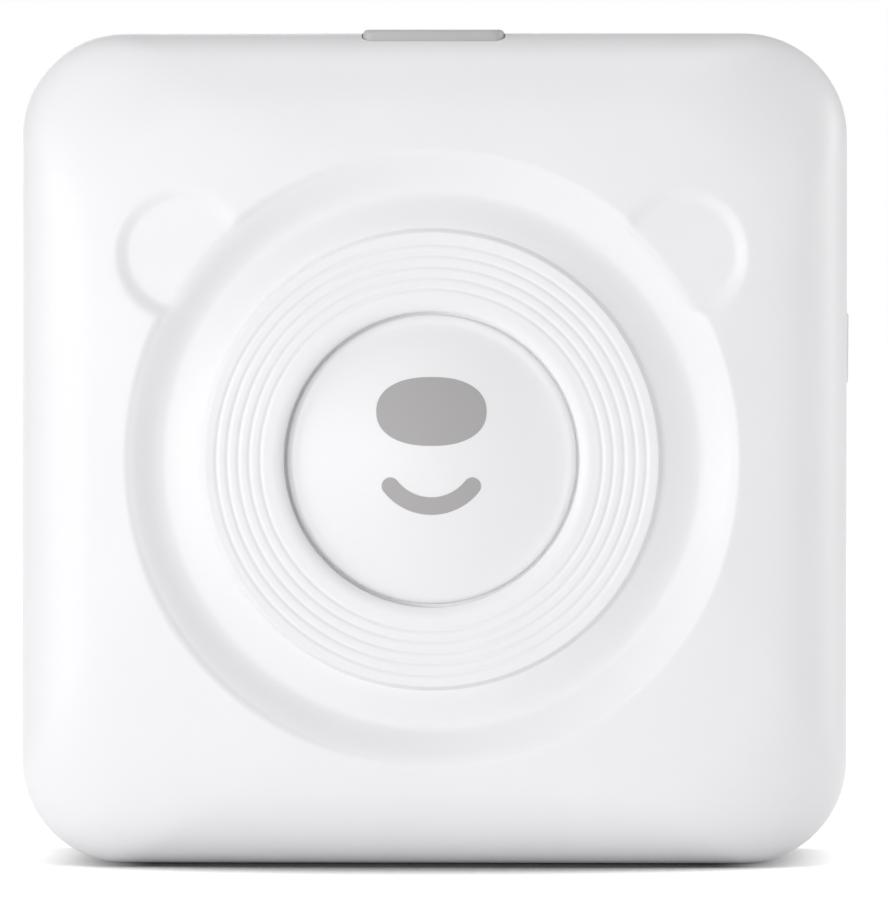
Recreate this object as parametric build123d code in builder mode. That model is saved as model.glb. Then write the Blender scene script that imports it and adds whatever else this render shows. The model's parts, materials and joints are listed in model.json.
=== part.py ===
from build123d import *
import math
import os

# Pocket printer on its bottom edge: X to the right, front towards -Y, Z up, millimetres.
# The origin is the middle of the bottom face.

# Housing
width = 89.5
height = 90.0
depth = 40.5
corner_r = 11.2
wall = 1.8
edge_round = 9.5
crown_width = 22.0
crown_drop = 1.1
crown_slope = 9.0
crown_corner_r = 3.2
edge_bands = 4
back_round = 4.0
back_bands = 3
front_y = -20.0
back_y = front_y + depth
inner_x = width / 2 - wall
inner_top = height - wall
inner_back = back_y - wall
seam_y = -1.0
seam_gap = 0.3
cover_edge = seam_y - seam_gap / 2
case_edge = seam_y + seam_gap / 2

# Face of the front cover: a round dish with a ring and a domed cap, radii about the face axis
face_z = 43.8
rim_r = 33.2
rim_bevel = 0.9
rim_y = -19.35
trough_r = 28.4
trough_depth = 2.0
trough_flats = 4
shoulder_r = 25.8
ring_r = 24.7
ring_y = -19.5
ring_step = 0.55
lip_r = 17.1
lip_drop = 0.75
cap_hole_r = 16.05
seat_y = -17.2
boss_back = -15.0
boss_r = 34.5
cavity_bend = 11.0
cavity_slope_h = 5.5
cavity_slope = 47.0
groove_count = 5
groove_first_r = 18.46
groove_pitch = 1.19
groove_width = 1.19
groove_depth = 0.26
cap_r = 15.7
cap_edge_y = -18.35
cap_top_y = -19.9
cap_flat_r = 6.0
peg_circle_r = 10.0
peg_r = 1.5

# Ear reliefs on the crowned face
ear_x = 27.0
ear_z = face_z + 22.35
ear_r = 7.27
ear_wall = 1.5
ear_depth = 0.45
ear_floor_y = front_y + 0.6

# Cover hinge along the bottom edge
hinge_y = seam_y
hinge_z = 2.5
barrel_r = 2.5
barrel_clear = 0.3
knuckle_x = 24.0
knuckle_w = 6.0
hinge_pin_r = 0.8
hinge_pin_x = 20.5
hinge_pin_len = 13.0

# Paper roll bay, 57 mm paper on a 30 mm roll
bay_half = 29.2
plate_t = 1.2
roll_y = 0.9
roll_z = 32.0
cradle_r = 15.6
cradle_t = 1.1
plate_front = -0.6
plate_back = 16.6
plate_bottom = 16.0
plate_top = 85.0
slot_half = 29.3
slot_front = -2.6
slot_back = 0.05

# Platen roller and gear train, gears on X axes
module = 0.5
platen_y = -6.1
platen_z = 76.0
platen_r = 4.5
platen_len = 57.0
shaft_r = 1.5
platen_teeth = 24
idler_teeth = 14
small_teeth = 12
big_teeth = 30
pinion_teeth = 12
idler_angle = -25.0
motor_y = 8.6
motor_z = 56.5
motor_r = 7.5
inner_gear_x = 32.4
inner_gear_w = 2.2
outer_gear_x = 35.2
outer_gear_w = 1.8
gear_pin_r = 0.75

# Print head, rocking on an axle behind its lower edge
head_y = -0.3
head_t = 1.5
head_bottom = 65.2
head_top = 84.0
ceramic_t = 0.8
glaze_r = 0.45
head_axle_y = 3.0
head_axle_z = 66.5
head_axle_r = 1.0
spring_bar_y = 6.5

# Latch, button and key
button_half = 7.6
button_front = -13.2
button_back = -7.4
button_top = height + 0.4
slide_clear = 0.15
bar_y = -12.4
bar_d = 2.6
bar_z = 84.0
bar_h = 1.6
hook_x = 34.25
hook_w = 2.5
hook_nose_z = 86.5
catch_z = 86.6
key_y = 14.0
key_w = 5.0
key_z = 55.5
key_h = 7.8
key_proud = 0.22

# Boards
board_y = 16.9
board_t = 1.0

# Screws
screw_r = 0.84
screw_hole_r = 0.86
screw_head_r = 1.9
screw_head_h = 1.4
lug_t = 2.0
lug_y = 6.0
case_boss_r = 3.0
cover_boss_r = 2.6
cover_lug_y = -11.0

os.makedirs("parts", exist_ok=True)

face_axis = Axis((0, 0, face_z), (0, 1, 0))
# Where the crown meets the edge arc, and where the arc meets the straight side wall
flat_inset = edge_round * (1 - math.sin(math.radians(crown_slope)))
side_depth = crown_drop + edge_round * math.cos(math.radians(crown_slope))

# Sketch plane for turned shapes: local x is the radius, local y is depth
face_plane = Plane(origin=(0, 0, face_z), x_dir=(1, 0, 0), z_dir=(0, 0, 1))


def save(builder, name):
    builder.part.label = name
    export_step(builder.part, f"parts/{name}.step")


def crown_depth(inset):
    # depth of the gentle crown below the flat field, as a parabola of the distance in from the edge
    share = max(0.0, (crown_width - inset) / (crown_width - flat_inset))
    return crown_drop * share**2


def outline(inset):
    # rounded rectangle moved in by inset; the corners stay round on the crown
    RectangleRounded(width - 2 * inset, height - 2 * inset, max(corner_r - inset, crown_corner_r))


def banded(pairs):
    # ruled bands through outlines given as (inset, y) pairs
    with BuildPart() as form:
        for reach, level in pairs:
            with BuildSketch(Plane.XZ.offset(-level)):
                with Locations((0, height / 2)):
                    outline(reach)
        loft(ruled=True)
    return form.part


def roof(plane, span, run):
    # long bar with the crown's cross-section, in two slopes each side of the flat field
    with BuildPart() as form:
        with BuildSketch(plane):
            with BuildLine():
                half = []
                for reach in (flat_inset, (flat_inset + crown_width) / 2, crown_width):
                    half.append((span / 2 - reach, front_y + crown_depth(reach)))
                mirrored = [(-x, y) for x, y in half[::-1]]
                Polyline((half[0][0], cover_edge), *half, *mirrored, (mirrored[-1][0], cover_edge), close=True)
            make_face()
        extrude(amount=run / 2, both=True)
    return form.part


def front_block():
    # front half: straight side, edge arc in bands, then the crown where two roofs cross
    pairs = [(0, case_edge), (0, front_y + side_depth)]
    top = 90 - crown_slope
    for turn in range(1, edge_bands + 1):
        angle = math.radians(top * turn / edge_bands)
        sink = side_depth - edge_round * math.sin(angle)
        pairs.append((edge_round * (1 - math.cos(angle)), front_y + sink))
    with BuildPart() as crown:
        with BuildSketch(Plane.XZ.offset(-front_y - 2 * crown_drop)):
            with Locations((0, height / 2)):
                outline(flat_inset)
        extrude(amount=2 * crown_drop)
        add(roof(Plane((0, 0, height / 2), z_dir=(0, 0, 1)), width, height), mode=Mode.INTERSECT)
        upright = Plane((0, 0, height / 2), x_dir=(0, 0, 1), z_dir=(-1, 0, 0))
        add(roof(upright, height, width), mode=Mode.INTERSECT)
    with BuildPart() as block:
        add(banded(pairs))
        add(crown.part)
    return block.part


def tray_block():
    # back half, with a rounded back edge in bands
    pairs = [(0, case_edge)]
    for turn in range(back_bands + 1):
        angle = math.radians(90 * turn / back_bands)
        sink = back_round * (1 - math.sin(angle))
        pairs.append((back_round * (1 - math.cos(angle)), back_y - sink))
    return banded(pairs)


def screw_hole(extra=0.0, mode=Mode.ADD):
    RegularPolygon(screw_hole_r + extra, 8, major_radius=False, mode=mode)


def pin_hole(radius, mode=Mode.ADD):
    # bore for a steel pin, with few faces
    RegularPolygon(radius, 10, major_radius=False, mode=mode)


def bar_along_x(x0, length, y, z, radius):
    # round bar along X, made outside the sub-part blocks
    with BuildPart() as rod:
        with BuildSketch(Plane.YZ.offset(x0)):
            with Locations((y, z)):
                Circle(radius)
        extrude(amount=length)
    return rod.part


def gear_outline(teeth, phase):
    # straight-flanked teeth, thinner than half the pitch so that the mesh has backlash
    pitch_r = module * teeth / 2
    step = 2 * math.pi / teeth
    corners = [(-0.29, -1.2), (-0.12, 0.9), (0.12, 0.9), (0.29, -1.2)]
    points = []
    for tooth in range(teeth):
        middle = math.radians(phase) + tooth * step
        for share, rise in corners:
            angle = middle + share * step
            radius = pitch_r + rise * module
            points.append((radius * math.cos(angle), radius * math.sin(angle)))
    return points


def mate(phase, teeth, direction, other_teeth):
    # phase of a gear whose gap meets the first gear's teeth along the line of centres
    share = ((direction - phase) * teeth / 360) % 1
    return direction + 180 + (share + 0.5) * 360 / other_teeth


def direction_of(start, end):
    return math.degrees(math.atan2(end[1] - start[1], end[0] - start[0]))


def mesh_distance(teeth_a, teeth_b):
    return module * (teeth_a + teeth_b) / 2


# Gear centres as (y, z): the idler lies behind the platen, the reduction gear between idler and motor
platen_at = (platen_y, platen_z)
motor_at = (motor_y, motor_z)
idler_reach = mesh_distance(platen_teeth, idler_teeth)
idler_at = (
    platen_y + idler_reach * math.cos(math.radians(idler_angle)),
    platen_z + idler_reach * math.sin(math.radians(idler_angle)),
)
to_idler = mesh_distance(idler_teeth, small_teeth)
to_motor = mesh_distance(big_teeth, pinion_teeth)
span = math.dist(idler_at, motor_at)
along = (to_idler**2 - to_motor**2 + span**2) / (2 * span)
aside = math.sqrt(to_idler**2 - along**2)
line_y = (motor_y - idler_at[0]) / span
line_z = (motor_z - idler_at[1]) / span
reduction_at = (
    idler_at[0] + along * line_y - aside * line_z,
    idler_at[1] + along * line_z + aside * line_y,
)
platen_phase = direction_of(platen_at, idler_at)
idler_phase = mate(platen_phase, platen_teeth, platen_phase, idler_teeth)
idler_to_small = direction_of(idler_at, reduction_at)
small_phase = mate(idler_phase, idler_teeth, idler_to_small, small_teeth)
big_phase = direction_of(reduction_at, motor_at)
pinion_phase = mate(big_phase, big_teeth, big_phase, pinion_teeth)


def dish_outline():
    # half section of the dish, from the rim to the face axis, closed in front of the face
    reach = rim_r - rim_bevel - trough_r
    points = [(rim_r + 1.5 * rim_bevel, front_y - 0.7), (rim_r - rim_bevel, rim_y + 0.6 * rim_bevel)]
    for flat in range(1, trough_flats + 1):
        radius = rim_r - rim_bevel - (rim_r - rim_bevel - shoulder_r) * flat / trough_flats
        share = abs(radius - trough_r) / reach
        points.append((radius, rim_y + trough_depth - (trough_depth - 0.6 * rim_bevel) * share**1.7))
    points += [
        (ring_r, ring_y + ring_step),
        (ring_r - 0.1, ring_y),
        (lip_r, ring_y),
        (cap_hole_r, ring_y + lip_drop),
        (cap_hole_r, seat_y),
        (0, seat_y),
        (0, front_y - 3),
        (rim_r + 1.5 * rim_bevel, front_y - 3),
    ]
    return points


# Front cover: crowned shell, hollow behind the dish, with a hinge barrel along its lower edge
with BuildPart() as cover_cavity:
    # straight inside wall, then a slope that follows the edge arc, round a boss behind the dish
    with BuildSketch(Plane.XZ.offset(-seam_y)):
        with Locations((0, height / 2)):
            outline(wall)
    extrude(amount=cavity_bend)
    with BuildSketch(Plane.XZ.offset(cavity_bend - seam_y)):
        with Locations((0, height / 2)):
            outline(wall)
    extrude(amount=cavity_slope_h, taper=cavity_slope)
    with BuildSketch(Plane.XZ.offset(-boss_back)):
        with Locations((0, face_z)):
            RegularPolygon(boss_r, 24)
    extrude(amount=10, mode=Mode.SUBTRACT)

with BuildPart() as hinge_barrel:
    add(bar_along_x(-width / 2, width, hinge_y, hinge_z, barrel_r))
    with BuildSketch(Plane.XZ.offset(barrel_r + 5)):
        with Locations((0, height / 2)):
            outline(0)
    extrude(amount=-4 * barrel_r, mode=Mode.INTERSECT)

with BuildPart() as front_cover:
    add(front_block())
    split(bisect_by=Plane.XZ.offset(-cover_edge), keep=Keep.TOP)
    # dish: bevelled rim, curved trough, shoulder, flat ring, chamfered lip and the seat of the cap
    with BuildSketch(face_plane):
        with BuildLine():
            Polyline(*dish_outline(), close=True)
        make_face()
    revolve(axis=face_axis, mode=Mode.SUBTRACT)
    # grooves turned into the ring
    with BuildSketch(face_plane):
        for turn in range(groove_count):
            groove_r = groove_first_r + turn * groove_pitch
            Polygon(
                (groove_r - groove_width / 2, ring_y),
                (groove_r + groove_width / 2, ring_y),
                (groove_r, ring_y + groove_depth),
                align=None,
            )
    revolve(axis=face_axis, mode=Mode.SUBTRACT)
    # ear reliefs: flat floors with a sloping wall
    for side in (-1, 1):
        with Locations(Location((side * ear_x, ear_floor_y, ear_z), (90, 0, 0))):
            Cone(
                ear_r - ear_wall,
                ear_r + ear_wall,
                2 * ear_depth,
                align=(Align.CENTER, Align.CENTER, Align.MIN),
                mode=Mode.SUBTRACT,
            )
    add(cover_cavity.part, mode=Mode.SUBTRACT)
    add(hinge_barrel.part)
    # gaps in the barrel for the knuckles of the rear shell
    for side in (-1, 1):
        middle_x = side * (knuckle_x + knuckle_w / 2)
        gap_w = knuckle_w + 2 * barrel_clear
        with BuildSketch(Plane.YZ.offset(middle_x - gap_w / 2)):
            with Locations((hinge_y, hinge_z)):
                Circle(barrel_r + barrel_clear)
                Rectangle(
                    barrel_r + barrel_clear, 2 * barrel_r, align=(Align.MAX, Align.MAX)
                )
                Rectangle(2 * barrel_r, 2 * barrel_r, align=(Align.MIN, Align.MAX))
        extrude(amount=gap_w, mode=Mode.SUBTRACT)
        bore_x = side * (hinge_pin_x + hinge_pin_len / 2) - hinge_pin_len / 2 - 0.2
        with BuildSketch(Plane.YZ.offset(bore_x)):
            with Locations((hinge_y, hinge_z)):
                pin_hole(hinge_pin_r + 0.05)
        extrude(amount=hinge_pin_len + 0.4, mode=Mode.SUBTRACT)
    # bosses for the liner screws
    with BuildSketch(Plane.XZ.offset(-cover_lug_y)):
        with Locations((37, 60), (-37, 60), (37, 18), (-37, 18)):
            RegularPolygon(cover_boss_r, 12)
    extrude(amount=5.6)
    with BuildSketch(Plane.XZ.offset(-cover_lug_y)):
        with Locations((37, 60), (-37, 60), (37, 18), (-37, 18)):
            screw_hole()
    extrude(amount=4.4, mode=Mode.SUBTRACT)
    # holes for the pegs of the cap
    with BuildSketch(Plane.XZ.offset(-boss_back - 1)):
        with Locations((0, face_z)):
            with PolarLocations(peg_circle_r, 3, start_angle=90):
                RegularPolygon(peg_r + 0.05, 8)
    extrude(amount=4, mode=Mode.SUBTRACT)
    # paper slot relief and the opening for the button
    with BuildSketch(Plane.XY.offset(inner_top - 1.5)):
        with Locations((0, slot_front)):
            Rectangle(2 * slot_half, 3, align=(Align.CENTER, Align.MIN))
    extrude(amount=4, mode=Mode.SUBTRACT)
    with BuildSketch(Plane.XY.offset(inner_top - 4)):
        with Locations((0, (button_front + button_back) / 2)):
            RectangleRounded(
                2 * (button_half + slide_clear), button_back - button_front + 2 * slide_clear, 1.2
            )
    extrude(amount=7, mode=Mode.SUBTRACT)
save(front_cover, "front_cover")

# Nose cap: domed disc with three pegs, seated in the dish
with BuildPart() as nose_cap:
    with BuildSketch(face_plane):
        with BuildLine():
            dome = [(0, seat_y)]
            dome.append((0, cap_top_y))
            dome.append((cap_flat_r, cap_top_y))
            dome.append((cap_r, cap_edge_y))
            Polyline(*dome, (cap_r, seat_y), close=True)
        make_face()
    revolve(axis=face_axis)
    with BuildSketch(Plane.XZ.offset(-seat_y)):
        with Locations((0, face_z)):
            with PolarLocations(peg_circle_r, 3, start_angle=90):
                RegularPolygon(peg_r, 8)
    extrude(amount=seat_y - boss_back - 0.6)
save(nose_cap, "nose_cap")

# Rear shell: plain tray with hinge knuckles, screw bosses, latch catches and side openings
case_boss_points = [(-20, 8.5), (20, 8.5), (36.5, 20), (-36.5, 66)]
with BuildPart() as rear_shell:
    add(tray_block())
    with BuildSketch(Plane.XZ.offset(-case_edge)):
        with Locations((0, height / 2)):
            outline(wall)
    extrude(amount=case_edge - inner_back, mode=Mode.SUBTRACT)
    # room for the cover's barrel, then the knuckles that stand in it
    with BuildSketch(Plane.YZ.offset(-width / 2)):
        with Locations((hinge_y, hinge_z)):
            Circle(barrel_r + barrel_clear)
            Rectangle(2 * (barrel_r + barrel_clear), 3 * barrel_r, align=(Align.CENTER, Align.MAX))
    extrude(amount=width, mode=Mode.SUBTRACT)
    for side in (-1, 1):
        with BuildSketch(Plane.YZ.offset(side * (knuckle_x + knuckle_w / 2) - knuckle_w / 2)):
            with Locations((hinge_y, hinge_z)):
                Circle(barrel_r)
                Rectangle(4.5, barrel_r, align=(Align.MIN, Align.MAX))
                pin_hole(hinge_pin_r + 0.01, mode=Mode.SUBTRACT)
        extrude(amount=knuckle_w)
    # bosses for the chassis screws
    with BuildSketch(Plane.XZ.offset(-lug_y - lug_t)):
        with Locations(*case_boss_points):
            RegularPolygon(case_boss_r, 12)
    extrude(amount=lug_y + lug_t - inner_back - 0.5)
    with BuildSketch(Plane.XZ.offset(-lug_y - lug_t)):
        with Locations(*case_boss_points):
            screw_hole()
    extrude(amount=-7, mode=Mode.SUBTRACT)
    # catches for the latch hooks and the rib that carries the tear blade
    with BuildSketch(Plane.XY.offset(catch_z)):
        with Locations((hook_x, case_edge), (-hook_x, case_edge)):
            Rectangle(hook_w + 1.3, 1.3, align=(Align.CENTER, Align.MIN))
    extrude(amount=inner_top + 0.5 - catch_z)
    with BuildSketch(Plane.XY.offset(plate_top - 0.4)):
        with Locations((0, slot_back)):
            Rectangle(2 * bay_half - 0.4, 1.6, align=(Align.CENTER, Align.MIN))
    extrude(amount=inner_top + 0.5 - plate_top)
    with BuildSketch(Plane.XY.offset(plate_top - 1)):
        with Locations((0, slot_back)):
            Rectangle(2 * slot_half, 3, align=(Align.CENTER, Align.MAX))
    extrude(amount=height, mode=Mode.SUBTRACT)
    # side openings for the power key and the USB plug
    with BuildSketch(Plane.YZ.offset(inner_x - 0.5)):
        with Locations((key_y, key_z)):
            RectangleRounded(key_w + 2 * slide_clear, key_h + 2 * slide_clear, 1.2)
        with Locations((15.3, 38)):
            RectangleRounded(4.0, 9.7, 1.9)
    extrude(amount=4, mode=Mode.SUBTRACT)
save(rear_shell, "rear_shell")

# Two steel hinge pins, pressed into the knuckles
with BuildPart() as hinge_pins:
    for side in (-1, 1):
        start = side * (hinge_pin_x + hinge_pin_len / 2) - hinge_pin_len / 2
        add(bar_along_x(start, hinge_pin_len, hinge_y, hinge_z, hinge_pin_r))
save(hinge_pins, "hinge_pins")

# Chassis: roll cradle between two side plates, paper guide, spring bar and fixing lugs
board_screw_points = [(-26.5, 79), (26.5, 79), (34.5, 47)]
motor_ear_angle = 62
motor_ear_reach = 10.0
with BuildPart() as chassis:
    with BuildSketch(Plane.YZ.offset(-bay_half)):
        with Locations((roll_y, roll_z)):
            Circle(cradle_r + cradle_t)
            Circle(cradle_r, mode=Mode.SUBTRACT)
        with Locations((plate_front, roll_z)):
            Rectangle(20, 40, align=(Align.MAX, Align.CENTER), mode=Mode.SUBTRACT)
    extrude(amount=2 * bay_half)
    for x0 in (-bay_half - plate_t, bay_half):
        with BuildSketch(Plane.YZ.offset(x0)):
            with Locations(((plate_front + plate_back) / 2, (plate_bottom + plate_top) / 2)):
                RectangleRounded(plate_back - plate_front, plate_top - plate_bottom, 2.5)
        extrude(amount=plate_t)
    # paper guide above the roll, with the sensor's window
    with BuildSketch(Plane.YZ.offset(-bay_half)):
        with BuildLine():
            Polyline((-0.6, 47.8), (0.6, 47.8), (0.6, 63.2), (0.1, 64.0), (-0.6, 63.2), close=True)
        make_face()
    extrude(amount=2 * bay_half)
    with BuildSketch(Plane.XZ.offset(-1)):
        with Locations((10, 57)):
            Rectangle(4.6, 3.4)
    extrude(amount=2, mode=Mode.SUBTRACT)
    # bar behind the head springs
    with BuildSketch(Plane.YZ.offset(-bay_half)):
        with Locations((spring_bar_y, 80)):
            Rectangle(1.6, 6.4, align=(Align.MIN, Align.CENTER))
    extrude(amount=2 * bay_half)
    # lugs under the cradle and beside the plates, on the bosses of the rear shell
    with BuildSketch(Plane.XZ.offset(-lug_y - lug_t)):
        with Locations((-20, 5.2), (20, 5.2)):
            Rectangle(8, 11.8, align=(Align.CENTER, Align.MIN))
        with Locations((bay_half, 20)):
            Rectangle(11, 7, align=(Align.MIN, Align.CENTER))
        with Locations((-bay_half, 66)):
            Rectangle(11, 7, align=(Align.MAX, Align.CENTER))
        with Locations(*case_boss_points):
            screw_hole(0.3, mode=Mode.SUBTRACT)
    extrude(amount=lug_t)
    # board posts on the rear edges of the plates
    with BuildSketch(Plane.XZ.offset(-board_y)):
        with Locations((bay_half, 79)):
            Rectangle(5.4, 5.4, align=(Align.MAX, Align.CENTER))
        with Locations((-bay_half, 79)):
            Rectangle(5.4, 5.4, align=(Align.MIN, Align.CENTER))
        with Locations((bay_half, 47)):
            Rectangle(8.2, 5.4, align=(Align.MIN, Align.CENTER))
    extrude(amount=3.5)
    with BuildSketch(Plane.XZ.offset(-board_y)):
        with Locations(*board_screw_points):
            screw_hole()
    extrude(amount=3.5, mode=Mode.SUBTRACT)
    # axle and motor holes, and the notch for the battery leads
    with BuildSketch(Plane.YZ.offset(-bay_half - plate_t - 1)):
        with Locations((head_axle_y, head_axle_z)):
            pin_hole(head_axle_r + 0.01)
    extrude(amount=2 * (bay_half + plate_t + 1), mode=Mode.SUBTRACT)
    with BuildSketch(Plane.YZ.offset(bay_half - 0.5)):
        with Locations(idler_at, reduction_at):
            pin_hole(gear_pin_r + 0.01)
        with Locations(motor_at):
            Circle(3.2)
            with PolarLocations(motor_ear_reach, 1, start_angle=motor_ear_angle):
                screw_hole()
    extrude(amount=plate_t + 1, mode=Mode.SUBTRACT)
    with BuildSketch(Plane.YZ.offset(-bay_half - plate_t - 0.5)):
        with Locations((12.2, 72)):
            Rectangle(6, 3, align=(Align.MIN, Align.CENTER))
    extrude(amount=plate_t + 1, mode=Mode.SUBTRACT)
save(chassis, "chassis")


def pan_screw(x, y, z, length, towards_back, head_r=screw_head_r, head_h=screw_head_h):
    # pan head screw along Y; the head's underside is at y
    sign = 1 if towards_back else -1
    with BuildPart() as screw:
        for radius, sides, reach in ((screw_r, 8, -sign * length), (head_r, 10, sign * head_h)):
            with BuildSketch(Plane.XZ.offset(-y)):
                with Locations((x, z)):
                    RegularPolygon(radius, sides)
            extrude(amount=reach)
    return screw.part


with BuildPart() as chassis_screws:
    for point in case_boss_points:
        add(pan_screw(point[0], lug_y, point[1], 7.5, True))
save(chassis_screws, "chassis_screws")

with BuildPart() as board_screws:
    for point in board_screw_points:
        add(pan_screw(point[0], board_y + board_t, point[1], 3.6, False, 1.6, 0.6))
save(board_screws, "board_screws")

with BuildPart() as liner_screws:
    for point in [(37, 60), (-37, 60), (37, 18), (-37, 18)]:
        add(pan_screw(point[0], cover_lug_y + lug_t, point[1], 5.6, False))
save(liner_screws, "liner_screws")

# Main board: upper field behind the head and a leg down to the USB socket
with BuildPart() as mainboard:
    with BuildSketch(Plane.XZ.offset(-board_y)):
        with BuildLine():
            FilletPolyline(
                (-30.9, 50), (31.5, 50), (31.5, 28), (41, 28), (41, 85), (-30.9, 85),
                close=True, radius=1.5,
            )
        make_face()
        with Locations(*board_screw_points):
            RegularPolygon(1.0, 8, mode=Mode.SUBTRACT)
        with Locations((41, 85)):
            Rectangle(4.5, 4.5, rotation=45, mode=Mode.SUBTRACT)
    extrude(amount=-board_t)
save(mainboard, "mainboard")

# Chips, radio module, inductor, capacitor and connectors on the board's front face
with BuildPart() as board_components:
    blocks = [
        (-4, 66, 7, 7, 1.2),
        (6, 58, 5, 6, 1.0),
        (-20, 58, 10, 12, 1.8),
        (8, 68, 5, 5, 3.0),
        (-24.5, 72, 5, 4, 4.3),
        (0, 75.5, 21, 3.2, 1.7),
        (36, 76, 6, 8, 3.2),
    ]
    for x, z, w, h, t in blocks:
        with BuildSketch(Plane.XZ.offset(-board_y)):
            with Locations((x, z)):
                Rectangle(w, h)
        extrude(amount=t)
    with BuildSketch(Plane.XZ.offset(-board_y)):
        with Locations((-13, 68)):
            Circle(2.5)
    extrude(amount=5.4)
save(board_components, "board_components")

# USB socket: steel shell with a tongue, mouth towards +X
with BuildPart() as usb_socket:
    with BuildSketch(Plane.YZ.offset(37.2)):
        with Locations((15.3, 38)):
            RectangleRounded(3.2, 9.0, 1.5)
    extrude(amount=7.2)
    with BuildSketch(Plane.YZ.offset(38.6)):
        with Locations((15.3, 38)):
            RectangleRounded(2.56, 8.34, 1.25)
            Rectangle(0.7, 6.6, mode=Mode.SUBTRACT)
    extrude(amount=6, mode=Mode.SUBTRACT)
    with BuildSketch(Plane.YZ.offset(43.6)):
        with Locations((15.3, 38)):
            Rectangle(0.9, 7)
    extrude(amount=1, mode=Mode.SUBTRACT)
save(usb_socket, "usb_socket")

# Side-push power switch on the board, and the key that slides in the wall to reach it
with BuildPart() as power_switch:
    with BuildSketch(Plane.XZ.offset(-board_y)):
        with Locations((39, key_z)):
            Rectangle(4, 6)
    extrude(amount=4.3)
    with BuildSketch(Plane.YZ.offset(41)):
        with Locations((key_y + 0.2, key_z)):
            RectangleRounded(1.4, 2.2, 0.3)
    extrude(amount=0.6)
save(power_switch, "power_switch")

with BuildPart() as power_key:
    with BuildSketch(Plane.YZ.offset(inner_x - 0.1)):
        with Locations((key_y, key_z)):
            RectangleRounded(key_w, key_h, 1.1)
    extrude(amount=wall + 0.1 + key_proud)
    chamfer(power_key.faces().sort_by(Axis.X)[-1].edges(), 0.15)
    with BuildSketch(Plane.YZ.offset(inner_x - 0.1)):
        with Locations((key_y - 0.4, key_z)):
            Rectangle(key_w + 0.8, key_h + 1.6)
    extrude(amount=-0.75)
save(power_key, "power_key")


def lead_wire(y):
    # insulated wire from the top of the battery through the notch in the side plate
    with BuildPart() as lead:
        with BuildLine() as route:
            FilletPolyline((-32.6, y, 57.5), (-32.6, y, 72), (-27, y, 72), radius=3)
        with BuildSketch(Plane.XY.offset(57.5)):
            with Locations((-32.6, y)):
                RegularPolygon(0.6, 6)
        sweep(path=route.wires()[0])
    return lead.part


# Battery pouch in the left side bay and its two leads
with BuildPart() as battery:
    with BuildSketch(Plane.XY.offset(11.5)):
        with Locations((-36.75, 8.7)):
            RectangleRounded(10.5, 15, 2.2)
    extrude(amount=46)
save(battery, "battery")

with BuildPart() as battery_leads:
    for lead_y in (13.2, 14.8):
        add(lead_wire(lead_y))
save(battery_leads, "battery_leads")

# Stepper motor inside the right side plate, with a screwed ear and a shaft collar
with BuildPart() as stepper_motor:
    with BuildSketch(Plane.YZ.offset(bay_half)):
        with Locations(motor_at):
            Circle(motor_r)
    extrude(amount=-14)
    with BuildSketch(Plane.YZ.offset(bay_half)):
        with Locations(motor_at):
            with PolarLocations(motor_ear_reach / 2, 1, start_angle=motor_ear_angle):
                Rectangle(motor_ear_reach, 3.8)
            with PolarLocations(motor_ear_reach, 1, start_angle=motor_ear_angle):
                RegularPolygon(1.9, 12)
                screw_hole(mode=Mode.SUBTRACT)
    extrude(amount=-1)
    with BuildSketch(Plane.YZ.offset(bay_half)):
        with Locations(motor_at):
            Circle(3.0)
    extrude(amount=plate_t + 0.4)
    with BuildSketch(Plane.YZ.offset(bay_half + plate_t + 0.4)):
        with Locations(motor_at):
            pin_hole(gear_pin_r + 0.05)
    extrude(amount=-5, mode=Mode.SUBTRACT)
save(stepper_motor, "stepper_motor")

with BuildPart() as motor_screw:
    ear_y = motor_y + motor_ear_reach * math.cos(math.radians(motor_ear_angle))
    ear_up = motor_z + motor_ear_reach * math.sin(math.radians(motor_ear_angle))
    for radius, length in ((screw_r, -plate_t - 1), (1.7, 0.9)):
        with BuildSketch(Plane.YZ.offset(bay_half + plate_t)):
            with Locations((ear_y, ear_up)):
                RegularPolygon(radius, 8)
        extrude(amount=length)
save(motor_screw, "motor_screw")


def gear_wheel(x0, face_w, centre, teeth, phase, bore_r):
    with BuildPart() as wheel:
        with BuildSketch(Plane.YZ.offset(x0)):
            with Locations(centre):
                Polygon(*gear_outline(teeth, phase), align=None)
                pin_hole(bore_r, mode=Mode.SUBTRACT)
        extrude(amount=face_w)
    return wheel.part


with BuildPart() as motor_shaft:
    add(bar_along_x(bay_half + plate_t - 4, 10.4, motor_y, motor_z, gear_pin_r))
save(motor_shaft, "motor_shaft")

with BuildPart() as motor_pinion:
    add(gear_wheel(outer_gear_x - 0.3, outer_gear_w + 0.6, motor_at, pinion_teeth, pinion_phase, gear_pin_r))
save(motor_pinion, "motor_pinion")

with BuildPart() as reduction_gear:
    gear_bore = gear_pin_r + 0.05
    add(gear_wheel(outer_gear_x, outer_gear_w, reduction_at, big_teeth, big_phase, gear_bore))
    small_x = inner_gear_x - 0.2
    small_w = outer_gear_x - small_x
    add(gear_wheel(small_x, small_w, reduction_at, small_teeth, small_phase, gear_bore))
save(reduction_gear, "reduction_gear")

with BuildPart() as idler_gear:
    add(gear_wheel(inner_gear_x - 0.2, inner_gear_w, idler_at, idler_teeth, idler_phase, gear_pin_r + 0.05))
save(idler_gear, "idler_gear")

# Headed steel pins that carry the idler and the reduction gear
with BuildPart() as gear_axles:
    for centre, tip_x in ((idler_at, 34.5), (reduction_at, 37.2)):
        add(bar_along_x(bay_half, tip_x - bay_half, centre[0], centre[1], gear_pin_r))
        with BuildSketch(Plane.YZ.offset(tip_x)):
            with Locations(centre):
                RegularPolygon(gear_pin_r + 0.6, 8)
        extrude(amount=0.5)
save(gear_axles, "gear_axles")

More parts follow.
